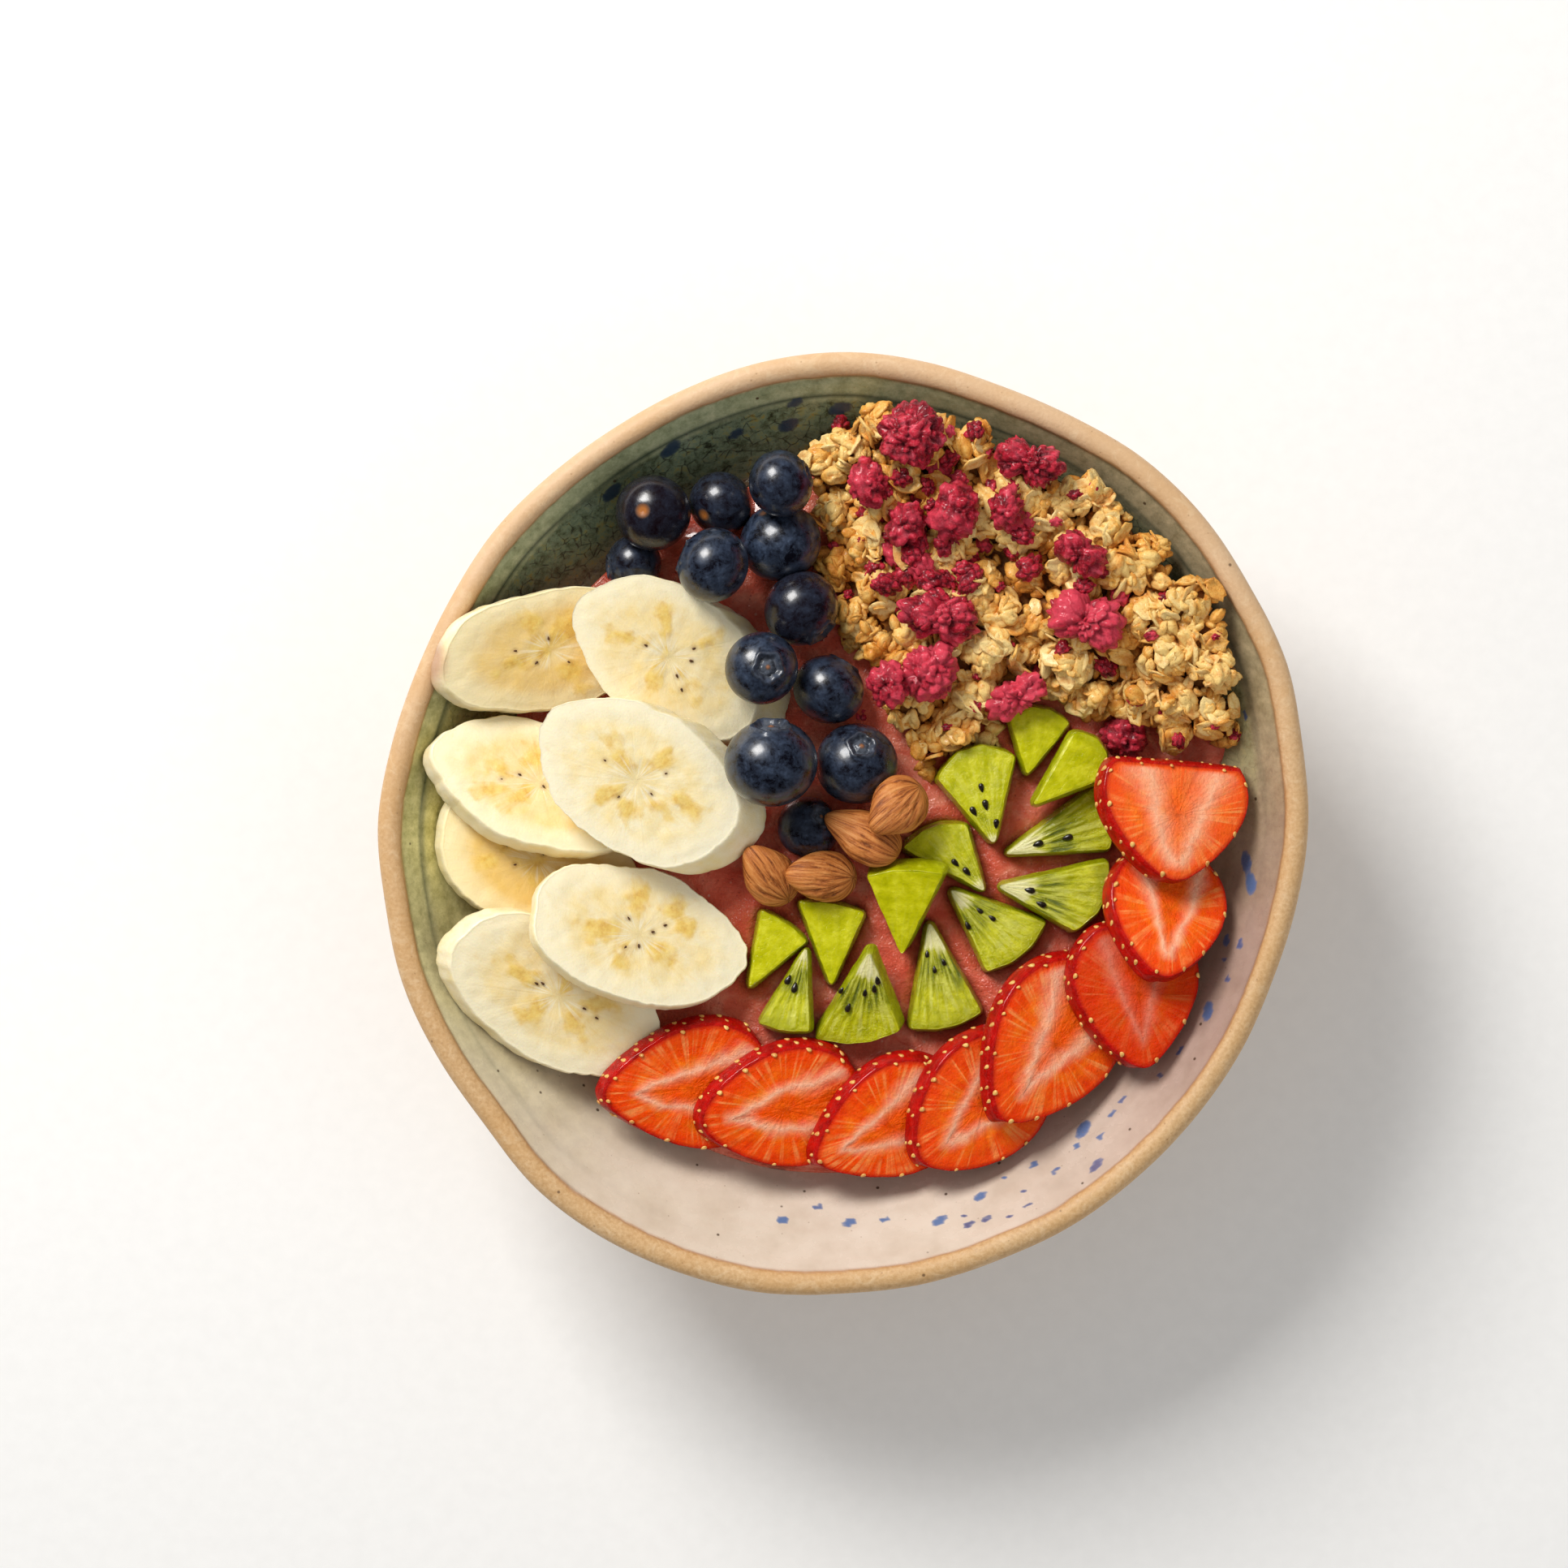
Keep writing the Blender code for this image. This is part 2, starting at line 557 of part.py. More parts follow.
def build_blueberry(name, pile):
    """A slightly flattened ball with the sunken crown at its top."""
    x, y, radius, bearing, lean = BLUEBERRIES[name]
    shape = bmesh.new()
    bmesh.ops.create_uvsphere(shape, u_segments=BLUEBERRY_SIDES, v_segments=BLUEBERRY_RINGS, radius=radius)
    crown_ring = radius * math.cos(math.pi / BLUEBERRY_RINGS)
    for vertex in shape.verts:
        if vertex.co.z > radius * 0.99:
            vertex.co.z -= radius * CROWN_DEPTH
        elif vertex.co.z > crown_ring * 0.99:
            vertex.co.x *= CROWN_WIDTH
            vertex.co.y *= CROWN_WIDTH
            vertex.co.z += radius * CROWN_LIP
        vertex.co.z *= BLUEBERRY_HEIGHT
    turn = heading_turn(bearing) @ Matrix.Rotation(math.radians(lean), 4, "Y")
    lay(name, mesh_from(shape), x, y, turn, "blueberry", pile)


def build_almond(name, pile):
    """A whole almond: a flattened drop, blunt at one end and pointed at the other, its tip at +X."""
    x, y, heading, length, width = ALMONDS[name]
    shape = bmesh.new()
    bmesh.ops.create_uvsphere(shape, u_segments=ALMOND_SIDES, v_segments=ALMOND_RINGS, radius=0.5)
    shape.transform(Matrix.Rotation(math.pi / 2, 4, "Y"))
    for vertex in shape.verts:
        along = vertex.co.x * 2
        taper = 1 - ALMOND_TAPER * along - ALMOND_POINT * max(along, 0) ** 2
        vertex.co.x *= length
        vertex.co.y *= width * taper
        vertex.co.z *= ALMOND_THICK * taper
    lay(name, mesh_from(shape), x, y, heading_turn(heading), "almond", pile)


def lump(radius, squash, turn, middle, seed):
    """An uneven pebble of 20 sides, as a mesh."""
    shape = bmesh.new()
    bmesh.ops.create_icosphere(shape, subdivisions=1, radius=radius)
    draw = random.Random(seed)
    for vertex in shape.verts:
        vertex.co *= draw.uniform(*LUMP_UNEVENNESS)
    shape.transform(Matrix.Translation(middle) @ turn @ Matrix.Diagonal((*squash, 1)))
    return mesh_from(shape)


def flake(radius, turn, middle):
    """A rolled oat: a thin disc with seven sides."""
    shape = bmesh.new()
    bmesh.ops.create_cone(
        shape, cap_ends=True, segments=7, radius1=radius, radius2=radius * 0.8, depth=FLAKE_THICK
    )
    shape.transform(Matrix.Translation(middle) @ turn @ Matrix.Diagonal((1, FLAKE_WIDTH, 1, 1)))
    return mesh_from(shape)


def random_turn(draw):
    angles = [draw.uniform(0, math.tau) for _ in range(3)]
    turn = Matrix.Rotation(angles[0], 4, "X") @ Matrix.Rotation(angles[1], 4, "Y")
    return turn @ Matrix.Rotation(angles[2], 4, "Z")


def fused(core, bodies):
    """The core and the bodies as one closed solid, without loose scraps or sealed hollows."""
    group = bpy.data.collections.new("bodies")
    for mesh in bodies:
        group.objects.link(bpy.data.objects.new("body", mesh))
    holder = bpy.data.objects.new("core", core)
    union = holder.modifiers.new("union", "BOOLEAN")
    union.operation = "UNION"
    union.operand_type = "COLLECTION"
    union.collection = group
    union.solver = "EXACT"
    bpy.context.scene.collection.children.link(group)
    mesh = evaluated_mesh(holder)
    for body in list(group.objects):
        bpy.data.objects.remove(body)
    bpy.data.collections.remove(group)
    return largest_body(mesh)


def largest_body(mesh):
    shape = bmesh.new()
    shape.from_mesh(mesh)
    bmesh.ops.dissolve_degenerate(shape, dist=SCRAP, edges=shape.edges)
    left = set(shape.faces)
    bodies = []
    while left:
        body = {left.pop()}
        fringe = set(body)
        while fringe:
            edges = {edge for face in fringe for edge in face.edges if edge.is_manifold}
            fringe = {face for edge in edges for face in edge.link_faces} - body
            body |= fringe
        left -= body
        bodies.append(body)
    bodies.sort(key=len)
    for body in bodies[:-1]:
        bmesh.ops.delete(shape, geom=list(body), context="FACES")
    return mesh_from(shape)


def bumpy(half, middle, turn, seed):
    """A lobe of drupelets: a ball of 80 sides with every corner drawn in or out."""
    draw = random.Random(seed)
    shape = bmesh.new()
    bmesh.ops.create_icosphere(shape, subdivisions=2, radius=1)
    for vertex in shape.verts:
        bulge = DRUPELET_TOP if len(vertex.link_edges) == 5 else DRUPELET_GROOVE
        vertex.co *= bulge * draw.uniform(*DRUPELET_UNEVENNESS)
    shape.transform(Matrix.Translation(middle) @ Matrix.Diagonal((*half, 1)) @ turn)
    return mesh_from(shape)


def build_raspberry(name, pile):
    """A torn piece of freeze-dried raspberry, in one lobe or in two that grew together."""
    x, y, heading, length, width, height, lobes = RASPBERRIES[name]
    draw = random.Random(name)
    half = Vector((length * (1 if lobes == 1 else TWO_LOBE_SHARE), width, height)) / 2
    if lobes == 1:
        mesh = bumpy(half, (0, 0, 0), random_turn(draw), name)
    else:
        apart = (length - 2 * half.x) / 2
        first = bumpy(half, (-apart, 0, 0), random_turn(draw), name)
        side = draw.uniform(-1, 1)
        second = bumpy(half * SECOND_LOBE, (apart, side, 0), random_turn(draw), name + "b")
        mesh = fused(first, [second])
    lay(name, mesh, x, y, heading_turn(heading), "raspberry", pile)


def edge_distance(x, y):
    """How far a place lies inside the two free edges of the heap, negative outside them."""
    left = x - numpy.interp(y, LEFT_EDGE_Y, LEFT_EDGE_X)
    front = y - numpy.interp(x, FRONT_EDGE_X, FRONT_EDGE_Y)
    return float(min(left, front))


def heap_point(angle, reach):
    return HEAP_MIDDLE[0] + reach * math.cos(angle), HEAP_MIDDLE[1] + reach * math.sin(angle)


def heap_reach(angle):
    """How far the heap goes from its middle, at an angle."""
    reach = 0.0
    inside = True
    while inside:
        reach += HEAP_REACH_STEP
        x, y = heap_point(angle, reach)
        wall = HEAP_WALL_RADIUS + rim_swell(math.atan2(y, x))
        inside = edge_distance(x, y) > 0 and math.hypot(x, y) < wall
    return reach


def heap_top(x, y):
    """The height of the heap's bare core."""
    slope = smooth(edge_distance(x, y) / HEAP_SLOPE_WIDTH)
    wall = smooth((math.hypot(x, y) - HEAP_WALL_START) / (HEAP_WALL_RADIUS - HEAP_WALL_START))
    uneven = HEAP_UNEVENNESS * noise.noise(Vector((x, y, 0)) / HEAP_BUMP)
    mound = SMOOTHIE_TOP + HEAP_EDGE_HEIGHT + HEAP_RISE * slope + HEAP_WALL_RISE * wall + uneven
    return max(mound, heap_base(x, y) + HEAP_LEAST_THICK)


def heap_base(x, y):
    """The underside of the heap, which follows the smoothie and then the bowl's wall."""
    swell = rim_swell(math.atan2(y, x)) / RIM_RADIUS * HEAP_SWELL_SHARE
    radius = min(math.hypot(x, y) / (1 + swell), INNER_RIM_RADIUS)
    return max(SMOOTHIE_TOP + GAP, inner_height(radius) + HEAP_WALL_GAP)


def heap_ring(share, height_at):
    ring = []
    for step in range(HEAP_STEPS):
        angle = math.tau * step / HEAP_STEPS
        x, y = heap_point(angle, share * heap_reach(angle))
        ring.append((x, y, height_at(x, y)))
    return ring


def heap_core():
    rings = [heap_ring(share, heap_top) for share in HEAP_TOP_RINGS]
    rings += [heap_ring(share, heap_base) for share in reversed(HEAP_BASE_RINGS)]
    return mesh_from(loft(rings))


def heap_spots(draw, count, spacing):
    """Places spread over the heap, no two closer than the spacing."""
    spots = []
    for _ in range(SPOT_TRIES):
        angle = draw.uniform(0, math.tau)
        spot = Vector(heap_point(angle, math.sqrt(draw.random()) * heap_reach(angle)))
        if all((spot - other).length > spacing for other in spots):
            spots.append(spot)
        if len(spots) == count:
            break
    return spots


def clear_of(mesh, pile):
    return not pile.tree.overlap(tree_of(mesh, Matrix())[0])


def build_granola(pile):
    """A heap of oat clusters: an uneven core with clusters and single flakes fused to its top."""
    draw = random.Random(11)
    core = heap_core()
    bodies = []
    places = [(*spot, draw.uniform(*CLUSTER_RADII)) for spot in heap_spots(draw, CLUSTERS, CLUSTER_SPACING)]
    for x, y, radius in places + FRONT_CLUSTERS:
        squash = (draw.uniform(0.85, 1.2), draw.uniform(0.75, 1), draw.uniform(0.6, 0.85))
        turn = heading_turn(draw.uniform(0, 360)) @ Matrix.Rotation(draw.uniform(-0.5, 0.5), 4, "X")
        for lift in CLUSTER_LIFTS:
            middle = (x, y, heap_top(x, y) + lift)
            body = lump(radius, squash, turn, middle, x)
            if clear_of(body, pile):
                bodies.append(body)
                break
    for x, y in heap_spots(draw, FLAKES, FLAKE_SPACING):
        middle = (x, y, heap_top(x, y) + draw.uniform(1.5, 2.8))
        turn = heading_turn(draw.uniform(0, 360)) @ Matrix.Rotation(draw.uniform(0.2, 0.9), 4, "X")
        body = flake(draw.uniform(*FLAKE_RADII), turn, middle)
        if clear_of(body, pile):
            bodies.append(body)
    mesh = fused(core, bodies)
    pile.add(mesh, Matrix())
    add_object("granola", mesh, Matrix(), "granola")


for old in list(bpy.data.objects):
    bpy.data.objects.remove(old)
collection = bpy.data.collections.new("smoothie_bowl")
bpy.context.scene.collection.children.link(collection)
scratch = bpy.context.scene.collection

pile = Pile()
build_bowl(pile)
build_smoothie(pile)
for number in (5, 7, 1, 3, 6):
    build_banana(f"banana_slice_{number}", pile)
build_blueberry("blueberry_6", pile)
for number in (2, 4):
    build_banana(f"banana_slice_{number}", pile)
for number in (1, 2, 3, 4, 5):
    build_strawberry(f"strawberry_slice_{number}", pile)
for number in (1, 6, 8, 9, 11, 13, 12, 10, 7, 3):
    build_kiwi(f"kiwi_wedge_{number}", pile)
build_strawberry("strawberry_slice_6", pile)
for number in (5, 4, 2):
    build_kiwi(f"kiwi_wedge_{number}", pile)
build_strawberry("strawberry_slice_7", pile)
build_strawberry("strawberry_slice_8", pile)
for number in (10, 11, 4, 7, 9, 1, 12, 2, 5, 3, 8):
    build_blueberry(f"blueberry_{number}", pile)
for number in (3, 4, 2, 1):
    build_almond(f"almond_{number}", pile)
build_granola(pile)
for name in RASPBERRIES:
    build_raspberry(name, pile)
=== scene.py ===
import itertools
import json
import math
import random

import bmesh
import bpy
import numpy as np
from mathutils import Matrix, Vector
from mathutils.bvhtree import BVHTree

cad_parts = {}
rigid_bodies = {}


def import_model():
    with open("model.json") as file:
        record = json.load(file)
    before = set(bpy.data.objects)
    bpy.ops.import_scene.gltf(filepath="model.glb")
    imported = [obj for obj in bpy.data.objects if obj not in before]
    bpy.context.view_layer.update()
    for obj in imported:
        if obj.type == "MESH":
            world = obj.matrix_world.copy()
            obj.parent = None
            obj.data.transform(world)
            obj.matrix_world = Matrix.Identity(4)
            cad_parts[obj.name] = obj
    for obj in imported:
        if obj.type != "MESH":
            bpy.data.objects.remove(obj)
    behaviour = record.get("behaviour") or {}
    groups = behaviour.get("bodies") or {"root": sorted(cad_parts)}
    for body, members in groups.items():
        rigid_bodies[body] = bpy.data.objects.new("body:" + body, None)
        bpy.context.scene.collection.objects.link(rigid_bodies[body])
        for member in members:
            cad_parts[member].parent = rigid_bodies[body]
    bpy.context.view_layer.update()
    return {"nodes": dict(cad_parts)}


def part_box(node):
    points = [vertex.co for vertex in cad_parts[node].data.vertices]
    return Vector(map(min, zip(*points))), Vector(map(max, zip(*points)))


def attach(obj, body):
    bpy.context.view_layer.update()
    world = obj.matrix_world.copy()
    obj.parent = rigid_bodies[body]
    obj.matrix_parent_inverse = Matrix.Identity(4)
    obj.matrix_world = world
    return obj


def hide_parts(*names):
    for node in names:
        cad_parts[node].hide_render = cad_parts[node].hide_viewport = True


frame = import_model()
MM = 0.001

# Sizes and places are in millimetres, laid out as seen from above, with bearings in degrees from +X
# round towards +Y. The bowl has the same named sizes as its CAD solid.
HEIGHT = 62.0
LIP_HEIGHT = 59.5
RIM_RADIUS = 100.0
INNER_RIM_RADIUS = 94.8
FOOT_RADIUS = 40.0
FOOT_WIDTH = 5.0
FOOT_RECESS = 3.0
FLOOR_TOP = 8.5
OUTER_BASE = 1.0
INNER_CURVE = 0.45
OUTER_CURVE = 0.40
SMOOTHIE_TOP = 44.3
RIM_SWELL = (
    (0.1, 0.3, 1.6, 1.4, 2.0, 1.9, 0.7, 0.2, 1.1, 1.7, 1.0, -0.4)
    + (-1.7, -2.1, -2.1, -2.8, -2.7, -1.5, 0.1, 0.0, 0.9, 0.7, 0.8, 2.8)
    + (3.3, 3.1, 2.7, 1.3, 0.7, -0.2, -0.4, -1.0, -1.3, -1.4, -1.7, -0.9)
)
RIM_WAVE = 0.7
RIM_WAVE_TURN = 0.7
SWELL_POWER = 2.0


def smooth(share):
    share = np.clip(share, 0, 1)
    return share * share * (3 - 2 * share)


def band(value, start, end):
    """0 before start and 1 after end, smoothly."""
    return smooth((value - start) / (end - start))


def bell(value, width):
    """1 at 0, and less and less on both sides."""
    return np.exp(-((value / width) ** 2))


def lattice(cell, seed):
    """A number from -1 to 1 for each whole-numbered cell."""
    mixed = cell[..., 0] * 374761393 + cell[..., 1] * 668265263 + cell[..., 2] * 1103515245 + seed * 12345701
    mixed &= 0xFFFFFFFF
    mixed = ((mixed ^ (mixed >> 13)) * 1274126177) & 0xFFFFFFFF
    return (mixed ^ (mixed >> 16)) / 0x7FFFFFFF - 1


def cloud(points, size, seed=0):
    """Smooth noise from -1 to 1 in lumps of a size."""
    place = np.asarray(points, float) / size
    cell = np.floor(place).astype(np.int64)
    share = smooth(place - cell)
    total = np.zeros(place.shape[:-1])
    for corner in itertools.product((0, 1), repeat=3):
        weight = np.prod(np.where(corner, share, 1 - share), axis=-1)
        total += weight * lattice(cell + np.array(corner), seed)
    return total


def clouds(points, size, seed=0, layers=3):
    return sum(cloud(points, size / 2**layer, seed + layer) / 2**layer for layer in range(layers))


def unit(vectors):
    return vectors / np.maximum(np.linalg.norm(vectors, axis=-1, keepdims=True), 1e-12)


def polar(radius, angle, height):
    """Points at a radius, an angle and a height, each a number or an array."""
    return np.stack(np.broadcast_arrays(radius * np.cos(angle), radius * np.sin(angle), height), -1)


# ---- materials ----


def linear(colour):
    """A number as a grey, or a colour read as sRGB, 0 to 255, in the linear light that a shader takes."""
    if not isinstance(colour, tuple):
        return (colour, colour, colour, 1)
    parts = (part / 255 for part in colour)
    return (*(part / 12.92 if part <= 0.04045 else ((part + 0.055) / 1.055) ** 2.4 for part in parts), 1)


class Paint:
    """A node material, built by short calls that take wires, numbers and colours alike."""

    def __init__(self, name, **settings):
        self.material = bpy.data.materials.new(name)
        self.material.use_nodes = True
        self.tree = self.material.node_tree
        self.shader = self.tree.nodes["Principled BSDF"]
        for socket, value in settings.items():
            self.shader.inputs[socket.replace("_", " ")].default_value = value

    def add(self, kind, inputs, **options):
        node = self.tree.nodes.new(kind)
        for option, value in options.items():
            setattr(node, option, value)
        for socket, value in inputs.items():
            self.join(value, node.inputs[socket])
        return node

    def join(self, value, socket):
        if isinstance(value, Wire):
            self.tree.links.new(value.socket, socket)
        else:
            socket.default_value = linear(value) if socket.type == "RGBA" else value

    def wire(self, output, kind, inputs, **options):
        return Wire(self, self.add(kind, inputs, **options).outputs[output])

    def masks(self, *names):
        return [self.wire("Fac", "ShaderNodeAttribute", {}, attribute_name=name) for name in names]

    def place(self, name):
        """A place attribute, in millimetres."""
        return self.wire("Vector", "ShaderNodeAttribute", {}, attribute_name=name)

    def finish(self, colour, roughness, height, depth):
        """depth is the relief's height in millimetres."""
        bump = self.wire(0, "ShaderNodeBump", {"Height": height, "Strength": 1.0, "Distance": depth * MM})
        for socket, value in (("Base Color", colour), ("Roughness", roughness), ("Normal", bump)):
            self.join(value, self.shader.inputs[socket])
        return self.material


class Wire:
    """What comes out of a node, for sums and products with other wires and numbers."""

    def __init__(self, paint, socket):
        self.paint = paint
        self.socket = socket

    def math(self, operation, first, second):
        return self.paint.wire(0, "ShaderNodeMath", {0: first, 1: second}, operation=operation)

    def __add__(self, other):
        return self.math("ADD", self, other)

    def __sub__(self, other):
        return self.math("SUBTRACT", self, other)

    def __rsub__(self, other):
        return self.math("SUBTRACT", other, self)

    def __mul__(self, other):
        return self.math("MULTIPLY", self, other)

    def noise(self, size, detail=3.0, rough=0.55, warp=0.0):
        inputs = {"Vector": self, "Scale": 1 / size, "Detail": detail, "Roughness": rough, "Distortion": warp}
        return self.paint.wire("Fac", "ShaderNodeTexNoise", inputs)

    def cells(self, size, feature="F1"):
        inputs = {"Vector": self, "Scale": 1 / size}
        return self.paint.wire("Distance", "ShaderNodeTexVoronoi", inputs, feature=feature)

    def ramp(self, *stops):
        """A ramp over this value: each stop's place, then the number or colour there."""
        node = self.paint.add("ShaderNodeValToRGB", {"Fac": self})
        elements = node.color_ramp.elements
        while len(elements) < len(stops) / 2:
            elements.new(0.5)
        for element, place, colour in zip(elements, stops[::2], stops[1::2]):
            element.position = place
            element.color = linear(colour)
        return Wire(self.paint, node.outputs["Color"])


def mix(share, first, second):
    """The first number or colour where the share is 0, and the second where it is 1."""
    return share.paint.wire(2, "ShaderNodeMix", {0: share, 6: first, 7: second}, data_type="RGBA")


def layered(colour, *layers):
    """A colour under layers, each a share and the colour that it mixes in."""
    for share, layer in layers:
        colour = mix(share, colour, layer)
    return colour


# ---- meshes ----


def add_piece(name, points, faces, material, masks, node=None):
    """A mesh from points in millimetres, with its masks and places stored on its points."""
    mesh = bpy.data.meshes.new(name)
    mesh.from_pydata(points * MM, [], faces)
    for mask, values in masks.items():
        values = np.asarray(values, np.float32)
        kind, field = ("FLOAT", "value") if values.ndim == 1 else ("FLOAT_VECTOR", "vector")
        mesh.attributes.new(mask, kind, "POINT").data.foreach_set(field, values.ravel())
    mesh.materials.append(material)
    mesh.shade_smooth()
    piece = bpy.data.objects.new(name, mesh)
    bpy.context.scene.collection.objects.link(piece)
    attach(piece, "root")
    if node:
        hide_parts(node)


def capped(values):
    """The values on rings of points as one list, with the means of the first and the last ring at its end."""
    return np.concatenate([values.reshape(-1, *values.shape[2:]), [values[0].mean(0), values[-1].mean(0)]])


def ring_mesh(rings):
    """Points and faces of a closed body through rings of points, (rings, steps, 3), the top one first."""
    count, steps, _ = rings.shape
    here = np.arange(steps)
    after = (here + 1) % steps
    row = np.arange(count - 1)[:, None] * steps
    sides = np.stack([row + here, row + steps + here, row + steps + after, row + after], -1).reshape(-1, 4)
    last = count * steps
    top = np.stack([np.full(steps, last), here, after], -1)
    base = np.stack([np.full(steps, last + 1), last - steps + after, last - steps + here], -1)
    return capped(rings), sides.tolist() + top.tolist() + base.tolist()


def add_rings(name, rings, material, masks, node):
    """A closed body through rings of points, with masks that have a value, or a place, for each point."""
    points, faces = ring_mesh(rings)
    for mask, values in masks.items():
        values = values if np.ndim(values) == 3 else np.broadcast_to(values, rings.shape[:2])
        masks[mask] = capped(values)
    add_piece(name, points, faces, material, masks, node)


def add_bodies(name, bodies, material):
    """Many small bodies as one piece, from the points, faces and masks of each."""
    points, faces, masks = zip(*bodies)
    starts = np.cumsum([0] + [len(own) for own in points[:-1]])
    joined = {"spot": np.concatenate(points)}
    for mask in masks[0]:
        values = [np.broadcast_to(own[mask], len(body)) for own, body in zip(masks, points)]
        joined[mask] = np.concatenate(values)
    sides = np.concatenate([own + start for own, start in zip(faces, starts)])
    add_piece(name, joined["spot"], sides, material, joined)


def ball_mesh(fineness):
    """The points, faces and edges of a ball of radius 1."""
    shape = bmesh.new()
    bmesh.ops.create_icosphere(shape, subdivisions=fineness, radius=1)
    points = np.array([vertex.co for vertex in shape.verts])
    faces = np.array([[vertex.index for vertex in face.verts] for face in shape.faces])
    edges = np.array([[vertex.index for vertex in edge.verts] for edge in shape.edges])
    shape.free()
    return unit(points), faces, edges


# ---- what the CAD says ----


def cad_shape(name):
    """A node's points in millimetres and its triangles."""
    mesh = frame["nodes"][name].data
    mesh.calc_loop_triangles()
    points = np.empty(len(mesh.vertices) * 3)
    mesh.vertices.foreach_get("co", points)
    triangles = np.empty(len(mesh.loop_triangles) * 3, np.int32)
    mesh.loop_triangles.foreach_get("vertices", triangles)
    points, index = np.unique(np.round(points.reshape(-1, 3) / MM, 3), axis=0, return_inverse=True)
    return points, index.reshape(-1)[triangles.reshape(-1, 3)]


def cad_tree(*names):
    points, triangles = [], []
    for name in names:
        own_points, own_triangles = cad_shape(name)
        triangles += (own_triangles + len(points)).tolist()
        points += own_points.tolist()
    return BVHTree.FromPolygons(points, triangles, all_triangles=True)


def numbered(kind):
    """The names and numbers of the nodes of a kind, in order."""
    names = [name for name in frame["nodes"] if name.startswith(kind)]
    return sorted(((name, int(name.split("_")[-1])) for name in names), key=lambda row: row[1])


def height_of(tree, x, y):
    hit = tree.ray_cast(Vector((x, y, 200)), Vector((0, 0, -1)))
    return hit[0].z if hit[0] else None


def sides_of(points, triangles):
    """The three corners, the area and the normal of each triangle."""
    first, second, third = points[triangles].transpose(1, 0, 2)
    cross = np.cross(second - first, third - first)
    return first, second, third, np.linalg.norm(cross, axis=1) / 2, unit(cross)


def flat_outline(points, triangles, way):
    """The outline and normal of the largest flat face that looks a way, anticlockwise seen from outside."""
    first, _, _, area, normals = sides_of(points, triangles)
    best = None
    for pick in np.argsort(-np.where(normals @ way > 0.3, area, 0))[:8]:
        group = (normals @ normals[pick] > 0.9995) & (np.abs((first - first[pick]) @ normals[pick]) < 0.05)
        if best is None or area[group].sum() > area[best].sum():
            best, normal = group, normals[pick]
    edges = {(a, b) for t in triangles[best] for a, b in zip(t, np.roll(t, -1))}
    after = {a: b for a, b in edges if (b, a) not in edges}
    loop = [min(after)]
    while after[loop[-1]] != loop[0]:
        loop.append(after[loop[-1]])
    return points[loop], normal


def curve_between(before, start, end, after, share):
    """The smooth curve from start to end that also heeds the points beside them."""
    bend = 2 * before - 5 * start + 4 * end - after
    twist = 3 * (start - end) + after - before
    return start + 0.5 * share * (end - before + share * (bend + share * twist))


def rounded(loop, per):
    """A smooth closed curve through the points of a loop, with so many steps between each two."""
    sides = (np.roll(loop, turn, 0)[:, None, :] for turn in (1, 0, -1, -2))
    return curve_between(*sides, (np.arange(per) / per)[None, :, None]).reshape(-1, 3)


def cornered(loop, steps, radius):
    """The loop at even steps along its straight sides, with its corners rounded a little."""
    closed = np.concatenate([loop, loop[:1]])
    along = np.concatenate([[0], np.cumsum(np.linalg.norm(np.diff(closed, axis=0), axis=1))])
    places = np.arange(steps) / steps * along[-1]
    even = np.stack([np.interp(places, along, closed[:, axis]) for axis in range(3)], -1)
    for _ in range(int(2 * (radius / (along[-1] / steps)) ** 2) + 1):
        even = (np.roll(even, 1, 0) + np.roll(even, -1, 0) + 2 * even) / 4
    return even


